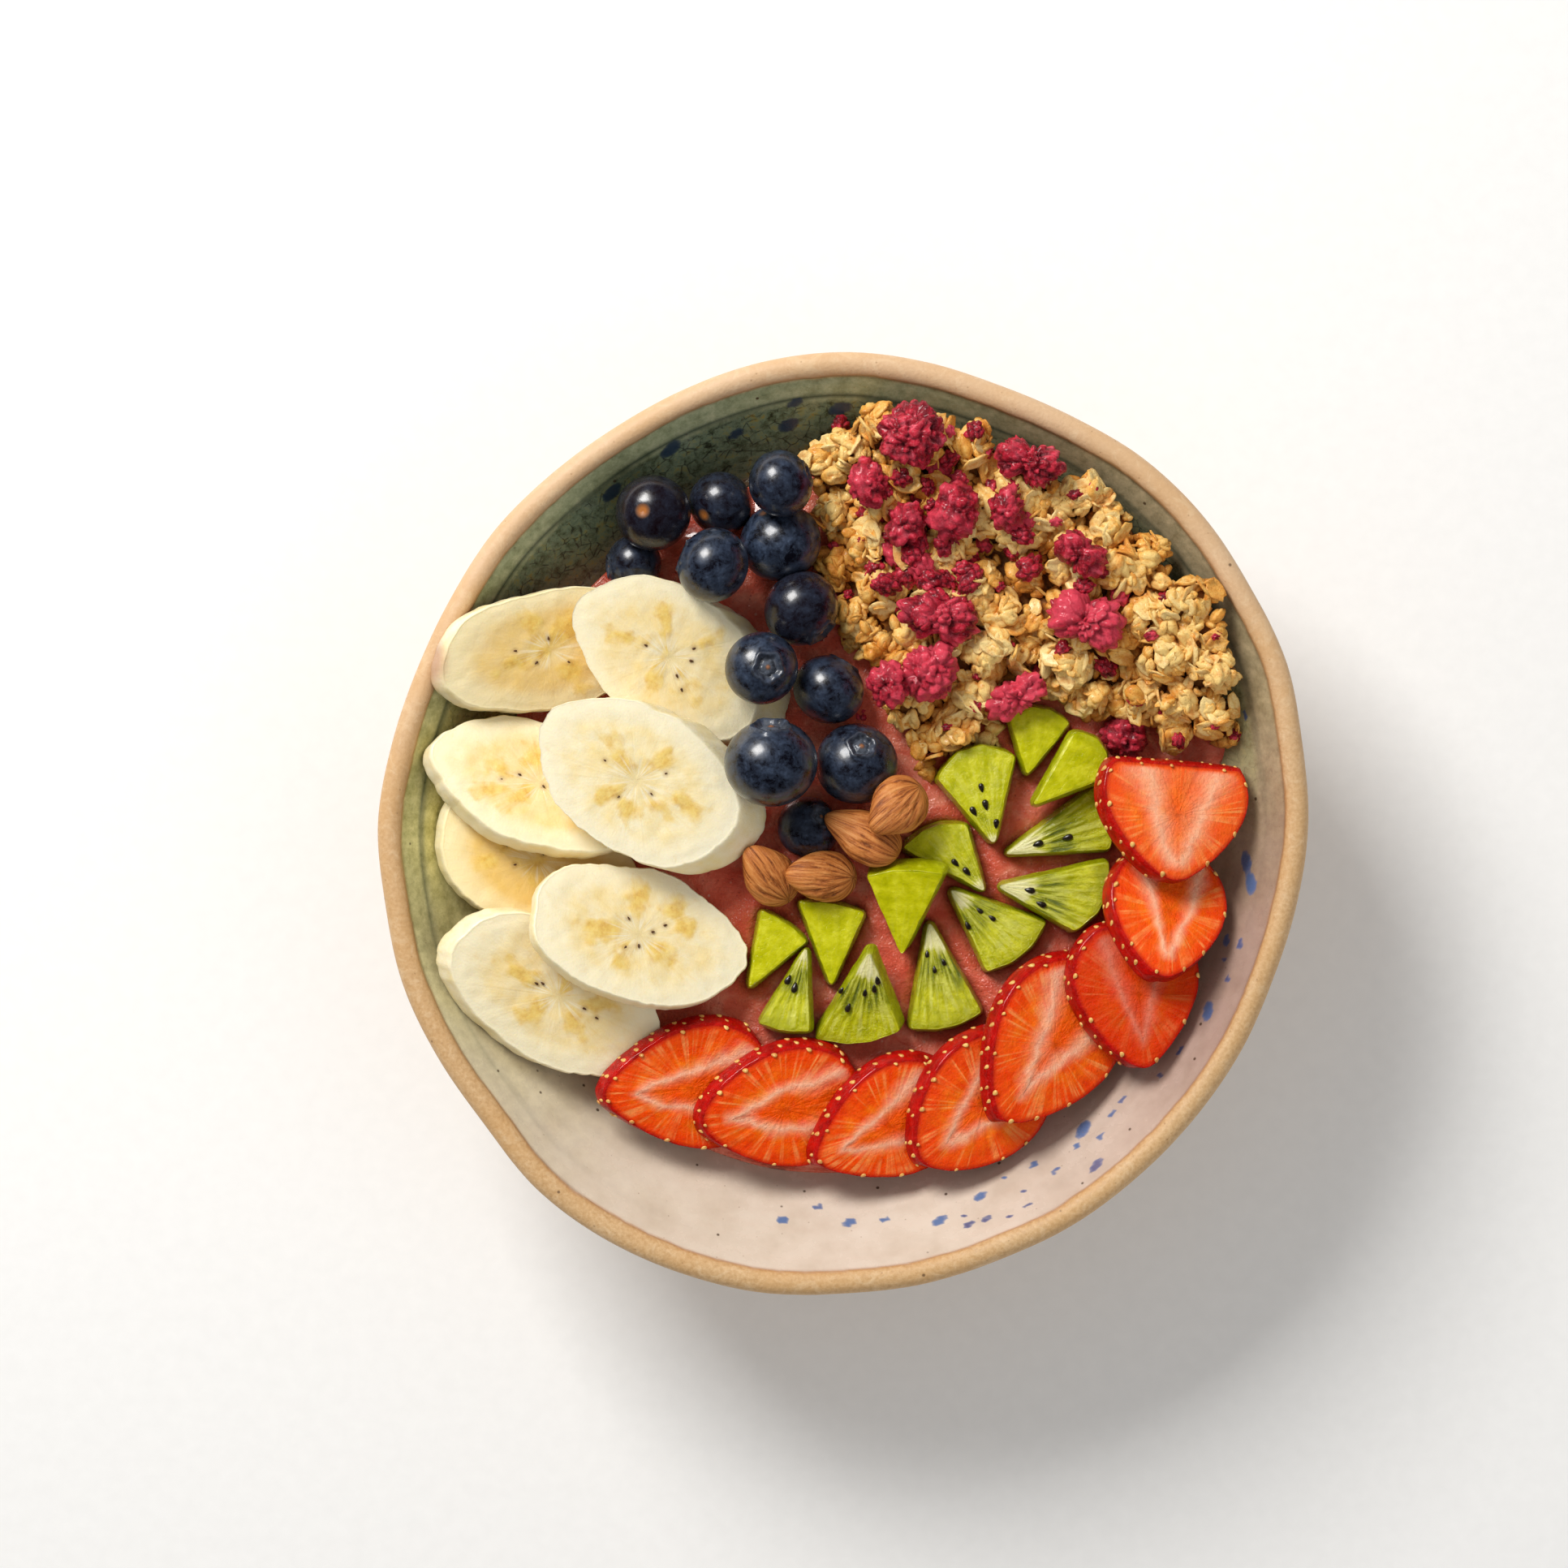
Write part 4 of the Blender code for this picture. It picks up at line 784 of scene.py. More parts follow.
def build_bananas():
    flesh = banana_paint()
    seeds = []
    shares = (*np.linspace(0.03, 0.9, 30), 0.93, 0.955, 0.975, 0.99, 1.0)
    for name, number in numbered("banana_slice"):
        heading, ripe = BANANAS[number]
        cut = Slice(name, heading, lambda loop: rounded(loop, 6), shares, BANANA_SIDE)
        x, y = cut.rings[..., 0], cut.rings[..., 1]
        place = cut.place(6)
        ragged = 0.26 * clouds(cut.top, 1.7, 31 + number, 2) + 0.40 * cloud(cut.top, 8, 33)
        cut.push_out(ragged * band(cut.share, 0.8, 1.0) * (cut.depth < 1.5))
        gold, seedy, brown = np.zeros((3, *x.shape))
        for px, py, size in BANANA_PATCHES[number]:
            spoke = unit(np.array([px, py]) - cut.middle[:2])
            out = (x - px) * spoke[0] + (y - py) * spoke[1]
            sideways = (x - px) * spoke[1] - (y - py) * spoke[0]
            away = np.hypot(out / 1.15, sideways / 0.62) / (size * 0.8)
            away = away + 0.7 * cloud(place, 2.4, 35) + 0.3 * cloud(place, 1.1, 36)
            gold = np.maximum(gold, 1 - band(away, 0.0, 1.4))
        for px, py in BANANA_SEEDS[number]:
            seedy = np.maximum(seedy, 0.6 * (1 - band(np.hypot(x - px, y - py), 0.3, 1.1)))
            at = cut.at(px, py)
            seeds.append((at + cut.normal * 0.02, unit(at - cut.middle + cut.along * 0.01), cut.normal))
        # The tip of the first slice has browned.
        if number == 1:
            brown = (1 - band(np.hypot(x + 88.2, (y - 35.0) / 1.6), 1.4, 5.0)) * 0.85
        dimple = -0.25 * (1 - band(cut.share, 0.0, 0.35)) + 0.11 * clouds(place, 2.6, 37)
        relief = (dimple + 0.10 * gold) * (1 - band(cut.share, 0.9, 1.0))
        cut.raise_face(relief - 0.14 * band(cut.share, 0.86, 1.0))
        gold = gold * (1 - band(cut.share, 0.82, 0.96)) * (cut.depth == 0)
        cut.piece(flesh, {"gold": gold, "seedy": seedy, "brown": brown, "ripe": ripe}, "banana")
    looks = (0.3, (60, 38, 22), 0.7, (112, 74, 40)), (0.3, 0.4, 0.7, 0.6)
    add_seeds("banana", seeds, (0.85, 0.42, 0.3), 0.3, *looks, 0.05, Specular_IOR_Level=0.4)


# ---- strawberry slices ----

# Heading of the tip, length and width of each slice, how pale it is, and how thick its pale core is.
STRAWBERRIES = {
    1: (183, 41, 26.6, 0.0, 1.0), 2: (187, 40, 26, 0.0, 1.1), 3: (205, 38, 24.4, 0.0, 1.2),
    4: (222, 39.5, 26.6, 0.05, 1.1), 5: (234, 43, 28, 0.05, 1.3), 6: (275, 35.5, 26.4, -0.65, 1.2),
    7: (262, 33.5, 25, 0.05, 1.0), 8: (266.5, 35, 30.5, 0.25, 1.7),
}
# Where the core ends before the tip, as a share of the half length.
CORE_END = 0.58
STRAWBERRY_SIDE = (
    (0.03, 0.28), (0.09, 0.42), (0.2, 0.5), (0.35, 0.5), (0.5, 0.46), (0.65, 0.38), (0.8, 0.28), (0.92, 0.12),
    (1.0, -0.35),
)
# Rows of golden seeds: how far down the side, how far out, distance between seeds.
SEED_ROWS = ((0.0, -0.15, 8.6), (0.30, 0.52, 4.3), (0.72, 0.34, 4.9))


def strawberry_paint():
    paint = Paint(
        "strawberry_flesh", Specular_IOR_Level=0.12, Coat_Weight=0.35, Coat_Roughness=0.05,
        Subsurface_Weight=0.06, Subsurface_Scale=0.0015, Subsurface_Radius=(1.0, 0.35, 0.2),
    )
    flat = paint.place("flat")
    share, heart, core, pale, side = paint.masks("share", "heart", "core", "pale", "side")
    soft, ray = flat.noise(3.6, 4, 0.6), paint.place("rim").noise(2.6, 2, 0.5)
    reach = share.ramp(0.30, 0.0, 0.5, 0.8, 0.90, 1.0, 0.97, 0.2)
    veins = ray.ramp(0.49, 0.0, 0.56, 1.0, 0.63, 0.0) * flat.noise(4.0, 2).ramp(0.4, 0.2, 0.6, 1.0)
    core = core * (flat.noise(1.3, 3, 0.6, 0.5) + 0.5)
    skin = flat.noise(2.2, 3).ramp(0.3, (150, 2, 4), 0.7, (206, 14, 8))
    colour = layered(
        soft.ramp(0.3, (246, 66, 0), 0.5, (255, 98, 0), 0.7, (255, 128, 10)),
        (share.ramp(0.5, 0.0, 0.96, 0.75), (238, 50, 0)),
        (veins * reach * 0.70, (255, 168, 92)),
        (ray.ramp(0.30, 1.0, 0.44, 0.0) * reach * 0.35, (224, 36, 0)),
        (heart * 0.5, (244, 84, 4)),
        (core.ramp(0.06, 0.0, 0.5, 0.38, 1.0, 0.82), (255, 198, 164)),
        (pale * 0.6, (255, 154, 74)),
        (pale * -1.0, (206, 40, 0)),
        (share.ramp(0.93, 0.0, 0.985, 0.6, 1.0, 0.95), skin),
        (side, skin),
    )
    relief = ray * 0.8 + flat.noise(0.7, 4, 0.7) + heart * flat.noise(0.9, 3)
    return paint.finish(colour, mix(side, soft.ramp(0.35, 0.22, 0.65, 0.38), 0.18), relief, 0.42)


def build_strawberries():
    flesh = strawberry_paint()
    seeds = []
    shares = (*np.linspace(0.035, 0.91, 26), 0.94, 0.965, 0.985, 1.0)
    for name, number in numbered("strawberry_slice"):
        heading, length, width, pale, bold = STRAWBERRIES[number]
        cut = Slice(name, heading, lambda loop: rounded(loop, 5), shares, STRAWBERRY_SIDE, tuck=1.6)
        place = cut.place(4)
        along, across = cut.flat[..., 0] / (length / 2), cut.flat[..., 1] / (width / 2)
        wander = 0.08 * cloud(place, 8, 41) + 0.035 * cloud(place, 1.8, 42)
        gap = 0.46 * np.clip(CORE_END - along, 0, None) ** 0.75 + wander
        thick = bold * (0.060 + 0.020 * cloud(place, 4, 43) + 0.050 * band(-along, -0.3, 0.7))
        core = np.exp(-((np.abs(np.abs(across) - gap) / (thick * 1.25)) ** 1.25))
        core = core * (1 - band(along, CORE_END - 0.02, CORE_END + 0.16)) * band(along, -1.02, -0.8)
        heart = (1 - band(np.abs(across) / np.maximum(gap, 0.02), 0.4, 0.9)) * (along < CORE_END)
        fade = 1 - band(cut.share, 0.86, 0.97)
        dome = 0.5 * (1 - cut.share**2) + 0.16 * clouds(place, 2.4, 45) * fade
        relief = (dome + 0.12 * core - 0.22 * heart) * (cut.share < 1)
        cut.raise_face(relief - 0.12 * band(cut.share, 0.93, 1))
        cut.push_out(0.10 * clouds(place, 2.2, 47, 2) * (cut.depth > 0) * (cut.depth < 1))
        cut.piece(flesh, {"core": core * fade, "heart": heart * fade, "pale": pale}, "strawberry")
        # The golden seeds sit in two uneven rows on the skin, and a few on the edge of the cut.
        draw = random.Random(name)
        travel = np.concatenate([[0], np.cumsum(np.linalg.norm(np.roll(cut.top, -1, 0) - cut.top, axis=1))])
        for level, swell, pitch in SEED_ROWS:
            spot = draw.uniform(0, 2)
            while spot < travel[-1] - 1.5:
                step = int(np.searchsorted(travel, spot)) % len(cut.top)
                spot += pitch * draw.uniform(0.7, 1.4)
                if level and cut.hidden[step] > 0.3:
                    continue
                out = cut.outward[step]
                at = cut.top[step] * (1 - level) + cut.base[step] * level + out * (swell + 0.04)
                at = at - cut.normal * draw.uniform(0, 0.5) * (level > 0)
                way = cut.along * 0.5 + out * 0.1 - cut.normal * 0.6
                seeds.append((at, way, unit(out + cut.normal * (0.9 - level))))
    looks = (0.3, (222, 160, 70), 0.7, (246, 210, 128)), (0.3, 0.25, 0.7, 0.4)
    add_seeds("strawberry", seeds, (1.4, 0.85, 0.5), 0.4, *looks, 0.06, (188, 96, 36), Specular_IOR_Level=0.5)


# ---- kiwi wedges ----

# The corner (x, y) that was the middle of the fruit, how strong the rays and the dark zone are, and how far
# the cream core goes.
KIWIS = {
    1: (40.0, 10.0, 0, 0), 2: (40.5, 3.5, 0, 0), 3: (33.0, -5.0, 0.35, 0.5), 4: (34.5, -7.0, 1, 2.5),
    5: (33.0, -13.5, 1, 2.3), 6: (31.3, -15.3, 0.5, 0.8), 7: (22.8, -13.8, 0.85, 1.5), 8: (12.5, -30.0, 0, 0),
    9: (18.7, -20.5, 1, 2.0), 10: (6.0, -26.5, 1, 2.0), 11: (-2.5, -36.0, 0, 0), 12: (-7.7, -26.2, 1, 1.5),
    13: (-20.8, -36.5, 0, 0),
}
KIWI_SEEDS = {
    3: ((30.1, 7.7), (33.3, -0.1), (28.4, 2.6), (31.0, 4.0)),
    4: ((48.9, -3.1), (42.5, -4.5)),
    5: ((40.5, -14.5), (43.0, -17.5)),
    6: ((27.0, -10.5), (24.5, -8.6)),
    7: ((27.2, -22.2), (32.5, -20.6), (29.8, -19.0)),
    9: ((18.4, -28.4), (22.0, -30.2), (20.0, -31.8)),
    10: ((-0.3, -36.1), (4.8, -36.6), (6.8, -35.7), (7.5, -33.9), (1.2, -39.9)),
    12: ((-11.8, -33.9), (-10.4, -35.6)),
}
KIWI_SIDE = (
    (0.01, 0.05), (0.035, 0.12), (0.1, 0.2), (0.35, 0.28), (0.6, 0.30), (0.8, 0.24), (0.93, 0.06),
    (1.0, -0.2),
)


def kiwi_paint():
    paint = Paint(
        "kiwi_flesh", Subsurface_Weight=0.08, Subsurface_Scale=0.002, Subsurface_Radius=(0.7, 1.0, 0.25),
        Specular_IOR_Level=0.6, Coat_Weight=0.3, Coat_Roughness=0.06,
    )
    flat = paint.place("flat")
    seedy, outer, zone, cream, side = paint.masks("seedy", "outer", "zone", "cream", "side")
    soft, line = flat.noise(3.2, 4, 0.6), paint.place("ray").noise(1.0, 3, 0.6)
    lined = (seedy * 0.86 + 0.14) * outer.ramp(0.0, 1.0, 0.8, 0.2)
    colour = layered(
        soft.ramp(0.3, (168, 170, 0), 0.5, (194, 193, 0), 0.7, (216, 214, 26)),
        (line.ramp(0.5, 0.0, 0.60, 1.0) * lined * 0.55, (220, 220, 104)),
        (line.ramp(0.38, 1.0, 0.48, 0.0) * lined * 0.45, (148, 154, 12)),
        (zone * line.ramp(0.38, 1.0, 0.58, 0.25) * 0.95, (82, 96, 22)),
        (cream, line.ramp(0.35, (228, 222, 146), 0.65, (244, 238, 184))),
        (outer.ramp(0.5, 0.0, 1.0, 0.6), (150, 154, 0)),
        (side, flat.noise(2.4, 4, 0.65).ramp(0.3, (146, 152, 0), 0.6, (182, 188, 10), 0.75, (212, 216, 62))),
    )
    relief = seedy * line + flat.noise(1.6, 3, 0.6) * 0.6 + flat.noise(0.6, 4, 0.7) * (seedy * 0.7 + 0.3)
    return paint.finish(colour, soft.ramp(0.35, 0.14, 0.65, 0.28), relief, 0.40)


def build_kiwis():
    flesh = kiwi_paint()
    seeds = []
    shares = (*np.linspace(0.05, 0.9, 14), 0.94, 0.97, 1.0)
    for name, number in numbered("kiwi_wedge"):
        tip_x, tip_y, seedy, creamy = KIWIS[number]
        cut = Slice(name, 0, lambda loop: cornered(loop, 112, 0.35), shares, KIWI_SIDE)
        tip = cut.at(tip_x, tip_y)
        away, offset = cut.middle - tip, cut.rings - tip
        place = cut.place(5)
        reach = np.linalg.norm(offset, axis=-1)
        share = reach / (1.62 * np.linalg.norm(away))
        middle_way = math.atan2(away @ cut.across, away @ cut.along)
        bearing = np.arctan2(offset @ cut.across, offset @ cut.along) - middle_way
        bearing = (bearing + math.pi) % math.tau - math.pi
        ray = np.stack([bearing * 13 + number * 9.0, reach * 0.10, cut.depth * 3], -1)
        core = 0.14 * creamy
        zone = 1 - band(share + 0.08 * cloud(place, 3, 51), core + 0.22, core + 0.46)
        zone = zone * band(share, core, core + 0.12) * seedy
        core_reach = share + 0.06 * cloud(place, 2, 52) + 0.03 * np.cos(bearing * 34)
        cream = (1 - band(core_reach, core * 0.92, core + 0.07)) * (creamy > 0)
        ridges = 0.10 * seedy * np.sin(bearing * 60 + 2 * cloud(place, 4, 53)) * band(share, 0.1, 0.3)
        relief = ridges + (0.05 + 0.08 * seedy) * clouds(place, 2.4, 55) + 0.12 * cream
        cut.raise_face(relief * (1 - band(cut.share, 0.9, 1.0)) - 0.12 * band(cut.share, 0.95, 1.0))
        cut.push_out(0.10 * clouds(place, 2.4, 57) * (cut.depth > 0) * (cut.depth < 1))
        masks = {"ray": ray, "seedy": seedy, "zone": zone, "cream": cream, "outer": band(share, 0.80, 1.02)}
        cut.piece(flesh, masks, "kiwi")
        for x, y in KIWI_SEEDS.get(number, ()):
            at = cut.at(x, y)
            seeds.append((at + cut.normal * 0.12, tip - at, cut.normal))
    looks = (0.3, (14, 12, 10), 0.75, (48, 38, 26)), (0.3, 0.2, 0.7, 0.4)
    shine = {"Specular_IOR_Level": 0.6, "Coat_Weight": 0.3, "Coat_Roughness": 0.1}
    add_seeds("kiwi", seeds, (2.1, 1.15, 0.8), 0.5, *looks, 0.05, **shine)


# ---- blueberries ----

# Radius, the bearing and lean of the crown, how plum-coloured the skin is, and how wide the crown is.
BLUEBERRIES = {
    1: (7.9, 0, 165, 0.9, 0.8), 2: (6.8, 38, 135, 0.6, 0.8), 3: (7.0, 20, 80, 0.4, 0.9),
    4: (8.5, 300, 120, 0.15, 1), 5: (7.8, 160, 85, 0.25, 1), 6: (6.2, 185, 80, 0.5, 0.9),
    7: (8.0, 310, 75, 0.7, 1), 8: (7.6, 0, 12, 0.2, 1), 9: (7.6, 60, 95, 0.3, 1),
    10: (9.6, 90, 68, 0.2, 1), 11: (8.6, 75, 31, 0.3, 0.8), 12: (6.2, 41, 42, 0.4, 0.9),
}
# The berries that show the scar of their stalk.
SCARRED = (1, 2)
BLUEBERRY_HEIGHT = 0.93


def blueberry_paint():
    paint = Paint("blueberry_skin", Specular_IOR_Level=0.5, Coat_Weight=0.45, Coat_Roughness=0.15)
    ball = paint.place("ball")
    plum, crown, scar = paint.masks("plum", "crown", "scar")
    bloom, fine = ball.noise(2.6, 6, 0.72, 0.3), ball.noise(0.6, 4, 0.7)
    veil = bloom.ramp(0.37, 0.0, 0.52, 0.5, 0.67, 1.0) * (1.0 - plum * 0.85)
    colour = layered(
        mix(plum, (9, 12, 22), (20, 6, 10)),
        (veil * 0.75, (66, 82, 108)),
        (fine.ramp(0.5, 0.0, 0.7, 1.0) * veil * 0.22, (120, 138, 166)),
        (crown, ball.noise(1.4, 3, 0.6).ramp(0.3, (28, 30, 38), 0.7, (96, 104, 118))),
        (scar.ramp(0.15, 0.0, 0.3, 0.85), scar.ramp(0.25, (78, 60, 52), 0.75, (182, 112, 52))),
    )
    roughness = mix(crown, veil.ramp(0.0, 0.24, 0.5, 0.36, 1.0, 0.48), 0.8)
    return paint.finish(colour, roughness, fine * 0.5 + bloom, 0.05)


def build_blueberries():
    skin = blueberry_paint()
    turn = np.arange(60) / 60 * math.tau
    down = np.concatenate([np.linspace(0.02, 0.66, 20), np.linspace(0.76, math.pi - 0.02, 23)])[:, None]
    up = math.pi - down
    way = polar(np.sin(down), turn, np.cos(down))
    for name, number in numbered("blueberry"):
        radius, bearing, lean, plum, wide = BLUEBERRIES[number]
        low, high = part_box(name)
        middle = np.array((low + high) / 2) / MM
        rim = 0.40 * wide * (1 + 0.09 * np.cos(5 * turn + number) + 0.03 * np.sin(11 * turn + number * 2))
        lip = bell(down - rim, 0.055)
        inside = 1 - band(down, rim * 0.70, rim * 0.95)
        reach = 1 + lip * (0.041 + 0.014 * np.cos(5 * turn + number)) - 0.10 * inside
        reach = reach - 0.05 * bell(down - rim * 0.72, 0.06) + 0.03 * bell(down, 0.06)
        reach = reach - 0.05 * bell(up, 0.11) + 0.012 * bell(up - 0.2, 0.06)
        dents = 0.010 * np.sin(way @ [2.1, 1.4, 0.8] + number * 2)
        dents = dents + 0.006 * np.sin(way @ [-1.7, 2.9, 1.9] + number)
        # A faceted ball looks smaller than the berry that it stands for, and the low berry 12 most of all.
        reach = reach * (1 + dents) * radius * (1.10 if number == 12 else 1.04)
        matrix = Matrix.Rotation(math.radians(bearing), 3, "Z") @ Matrix.Rotation(math.radians(lean), 3, "Y")
        ball = (way * reach[..., None] * [1, 1, BLUEBERRY_HEIGHT]) @ np.array(matrix).T
        masks = {
            "crown": np.maximum(inside * 0.9, lip * 0.35),
            "scar": np.maximum(bell(up, 0.16) * (1 if number in SCARRED else 0.45), 0.6 * bell(down, 0.085)),
            "plum": plum,
            "ball": ball + number * 31.0,
        }
        add_rings(name + "_berry", ball + middle, skin, masks, name)


# ---- almonds and raspberries ----


def even_out(values, edges, times):
    """Each value drawn towards the mean of its neighbours."""
    ends = np.concatenate([edges, edges[:, ::-1]])
    count = np.bincount(ends[:, 0], minlength=len(values))
    for _ in range(times):
        around = np.bincount(ends[:, 0], weights=values[ends[:, 1]], minlength=len(values)) / count
        values = (values + around) / 2
    return values


def wrapped(name, ball, edges, times):
    """How far the node's solid reaches from its middle, in each of a ball's directions, evened out."""
    tree = cad_tree(name)
    low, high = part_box(name)
    middle = (low + high) / 2 / MM
    hits = [tree.ray_cast(middle + Vector(way) * 60, -Vector(way))[0] for way in ball]
    reach = np.array([(hit - middle).length if hit else 3.0 for hit in hits])
    return np.array(middle), even_out(reach, edges, times)


ALMOND_HEADINGS = {1: 221.0, 2: 153.0, 3: 127.0, 4: 178.0}


def build_almonds():
    ball, faces, edges = ball_mesh(5)
    paint = Paint("almond_skin", Specular_IOR_Level=0.35)
    line, dust = paint.place("groove").noise(0.9, 3, 0.6, 0.35), paint.place("spot").noise(0.45, 4, 0.7)
    colour = layered(
        line.ramp(0.34, (112, 54, 18), 0.43, (166, 92, 38), 0.54, (200, 122, 58), 0.72, (222, 152, 86)),
        (dust.ramp(0.5, 0.0, 0.75, 1.0) * 0.25, (226, 172, 112)),
    )
    skin = paint.finish(colour, line.ramp(0.3, 0.55, 0.7, 0.42), line + dust * 0.3, 0.42)
    for name, number in numbered("almond"):
        middle, reach = wrapped(name, ball, edges, 14)
        along = polar(1, math.radians(ALMOND_HEADINGS[number]), 0)
        lengthwise = ball @ along
        turn = np.arctan2(ball @ np.cross([0, 0, 1.0], along), ball[:, 2])
        groove = polar(5.5, turn, lengthwise * 0.9) + number * 17
        from_tip = np.arccos(np.clip(lengthwise, -1, 1))
        reach = reach * (1.012 + 0.13 * bell(from_tip, 0.26) - 0.05 * bell(from_tip - 0.7, 0.3))
        furrows = 0.10 - 0.26 * bell(clouds(groove, 1.3, 71, 2), 0.16)
        points = middle + ball * (reach + furrows * (1 - lengthwise**4))[:, None]
        add_piece(name + "_nut", points, faces, skin, {"groove": groove, "spot": points}, name)


def bent(ball, amount, places, size, seed):
    """The ball's directions, each turned a little by noise at its place."""
    return unit(ball + amount * np.stack([cloud(places, size, seed + axis) for axis in range(3)], -1))


def drupelets(ball, count, seed):
    """How high each direction lies on a bead, 0 in the grooves and 1 on a crown, and the size of its bead."""
    draw = random.Random(seed)
    golden = math.pi * (3 - math.sqrt(5))
    beads = []
    for bead in range(count):
        z = 1 - 2 * (bead + 0.5) / count
        turn = golden * bead + draw.uniform(-0.3, 0.3)
        beads.append(polar(math.sqrt(1 - z * z), turn, z) + [draw.uniform(-0.08, 0.08) for _ in range(3)])
    nearness = ball @ unit(np.array(beads)).T
    second, first = np.arccos(np.clip(np.sort(nearness, axis=1)[:, -2:], -1, 1)).T
    size = np.array([draw.random() for _ in range(count)])[np.argmax(nearness, axis=1)]
    return smooth((second - first) / (second + first) * 1.8), size


def raspberry_paint():
    paint = Paint("raspberry_dried", Specular_IOR_Level=0.25, Coat_Weight=0.35, Coat_Roughness=0.10)
    spot = paint.place("spot")
    bead, tint = paint.masks("bead", "tint")
    fine, blot = spot.noise(0.45, 4, 0.7), spot.noise(2.6, 3, 0.6)
    colour = layered(
        blot.ramp(0.32, (92, 0, 16), 0.45, (148, 6, 30), 0.57, (196, 28, 54), 0.70, (234, 88, 108)),
        # Painted shade: darker where the bead mask is low, in the grooves between the beads and in the
        # creases.
        (bead.ramp(0.0, 1.0, 0.5, 0.0) * 0.85, (74, 2, 16)),
        (fine.ramp(0.52, 0.0, 0.68, 1.0) * 0.35, (236, 120, 134)),
        (tint.ramp(0.35, 0.0, 0.9, 0.65), (238, 78, 100)),
    )
    return paint.finish(colour, fine.ramp(0.3, 0.36, 0.7, 0.62), fine + blot * 0.5, 0.26)


# Pieces that are pinker or darker than the others.
RASPBERRY_TINT = {8: 0.35, 9: 0.30, 10: 0.40, 12: 0.15, 1: -0.3, 2: -0.2, 7: -0.3, 3: -0.15, 11: -0.25}


def build_raspberries(paint):
    fine, coarse = ball_mesh(5), ball_mesh(4)
    for name, number in numbered("raspberry"):
        low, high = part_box(name)
        long = max(high - low) / MM
        ball, faces, edges = fine if long > 13 else coarse
        middle, reach = wrapped(name, ball, edges, 5)
        points = middle + ball * reach[:, None]
        bead, size = drupelets(bent(ball, 0.16, points, 2.4, 101 + number), int(24 + long * 2.4), name)
        wrinkle = 1 - 2.2 * np.abs(cloud(points, 1.25, 81 + number))
        fold = cloud(points, 3.0, 83 + number)
        crease = bell(cloud(points, 3.6, 85 + number), 0.12)
        reach = reach * (0.95 + 0.12 * size) + 0.85 * (bead - 0.5) + 0.5 * wrinkle + 0.7 * fold - 1.1 * crease
        points = middle + ball * reach[:, None]
        # The bead mask is painted shade: low in the grooves and creases, a little higher on the wrinkles'
        # ridges.
        shade = np.clip(bead * (1 - 0.8 * crease) + 0.25 * wrinkle, 0, 1)
        tint = np.clip(0.45 + 0.5 * fold + RASPBERRY_TINT.get(number, 0) + 0.2 * (size - 0.5), 0, 1)
        masks = {"spot": points, "bead": shade, "tint": tint}
        add_piece(name + "_piece", points, faces, paint, masks, name)


# Crumbs of raspberry on the granola and about it: x, y, size.
CRUMBS = (
    (-0.5, 86.1, 4.2), (28.0, 84.1, 4.4), (22.9, 78.6, 5.4), (-1.0, 59.3, 4.6), (-4.2, 39.8, 4.0),
    (4.0, 23.2, 4.6), (38.3, 62.0, 5.0), (27.3, 52.4, 5.6), (56.9, 34.0, 4.4), (59.6, 48.9, 5.0),
    (72.7, 18.0, 3.6), (85.0, 19.2, 2.6), (9.3, 51.5, 6.5), (17.1, 55.5, 7.0), (12.4, 74.2, 5.0),
    (18.2, 72.4, 4.2), (40.0, 55.0, 5.6), (51.7, 51.1, 4.4), (39.5, 65.5, 4.2), (25.5, 47.1, 5.4),
    (27.5, 57.0, 4.6), (10.5, 58.5, 6.0), (16.5, 61.0, 4.8), (21.5, 59.8, 4.4), (23.5, 62.3, 4.2),
    (19.5, 68.3, 4.2), (8.2, 66.5, 3.8), (13.5, 53.4, 5.4), (22.5, 52.6, 4.6), (6.8, 55.0, 4.0),
    (30.5, 60.2, 3.6), (12.2, 47.6, 4.8), (32.0, 72.5, 3.8), (44.6, 73.6, 3.4), (55.2, 54.6, 4.2),
    (46.5, 45.2, 5.0), (30.8, 79.8, 3.6), (47.5, 38.0, 3.4), (14.8, 58.2, 6.4), (19.0, 52.4, 6.0),
    (20.4, 48.2, 5.4), (26.4, 54.6, 5.6), (11.0, 62.4, 5.4), (37.0, 58.6, 5.4), (16.6, 69.6, 5.6),
    (24.6, 73.4, 5.0), (20.8, 76.4, 5.6),
)
LOOSE_CRUMBS = 34


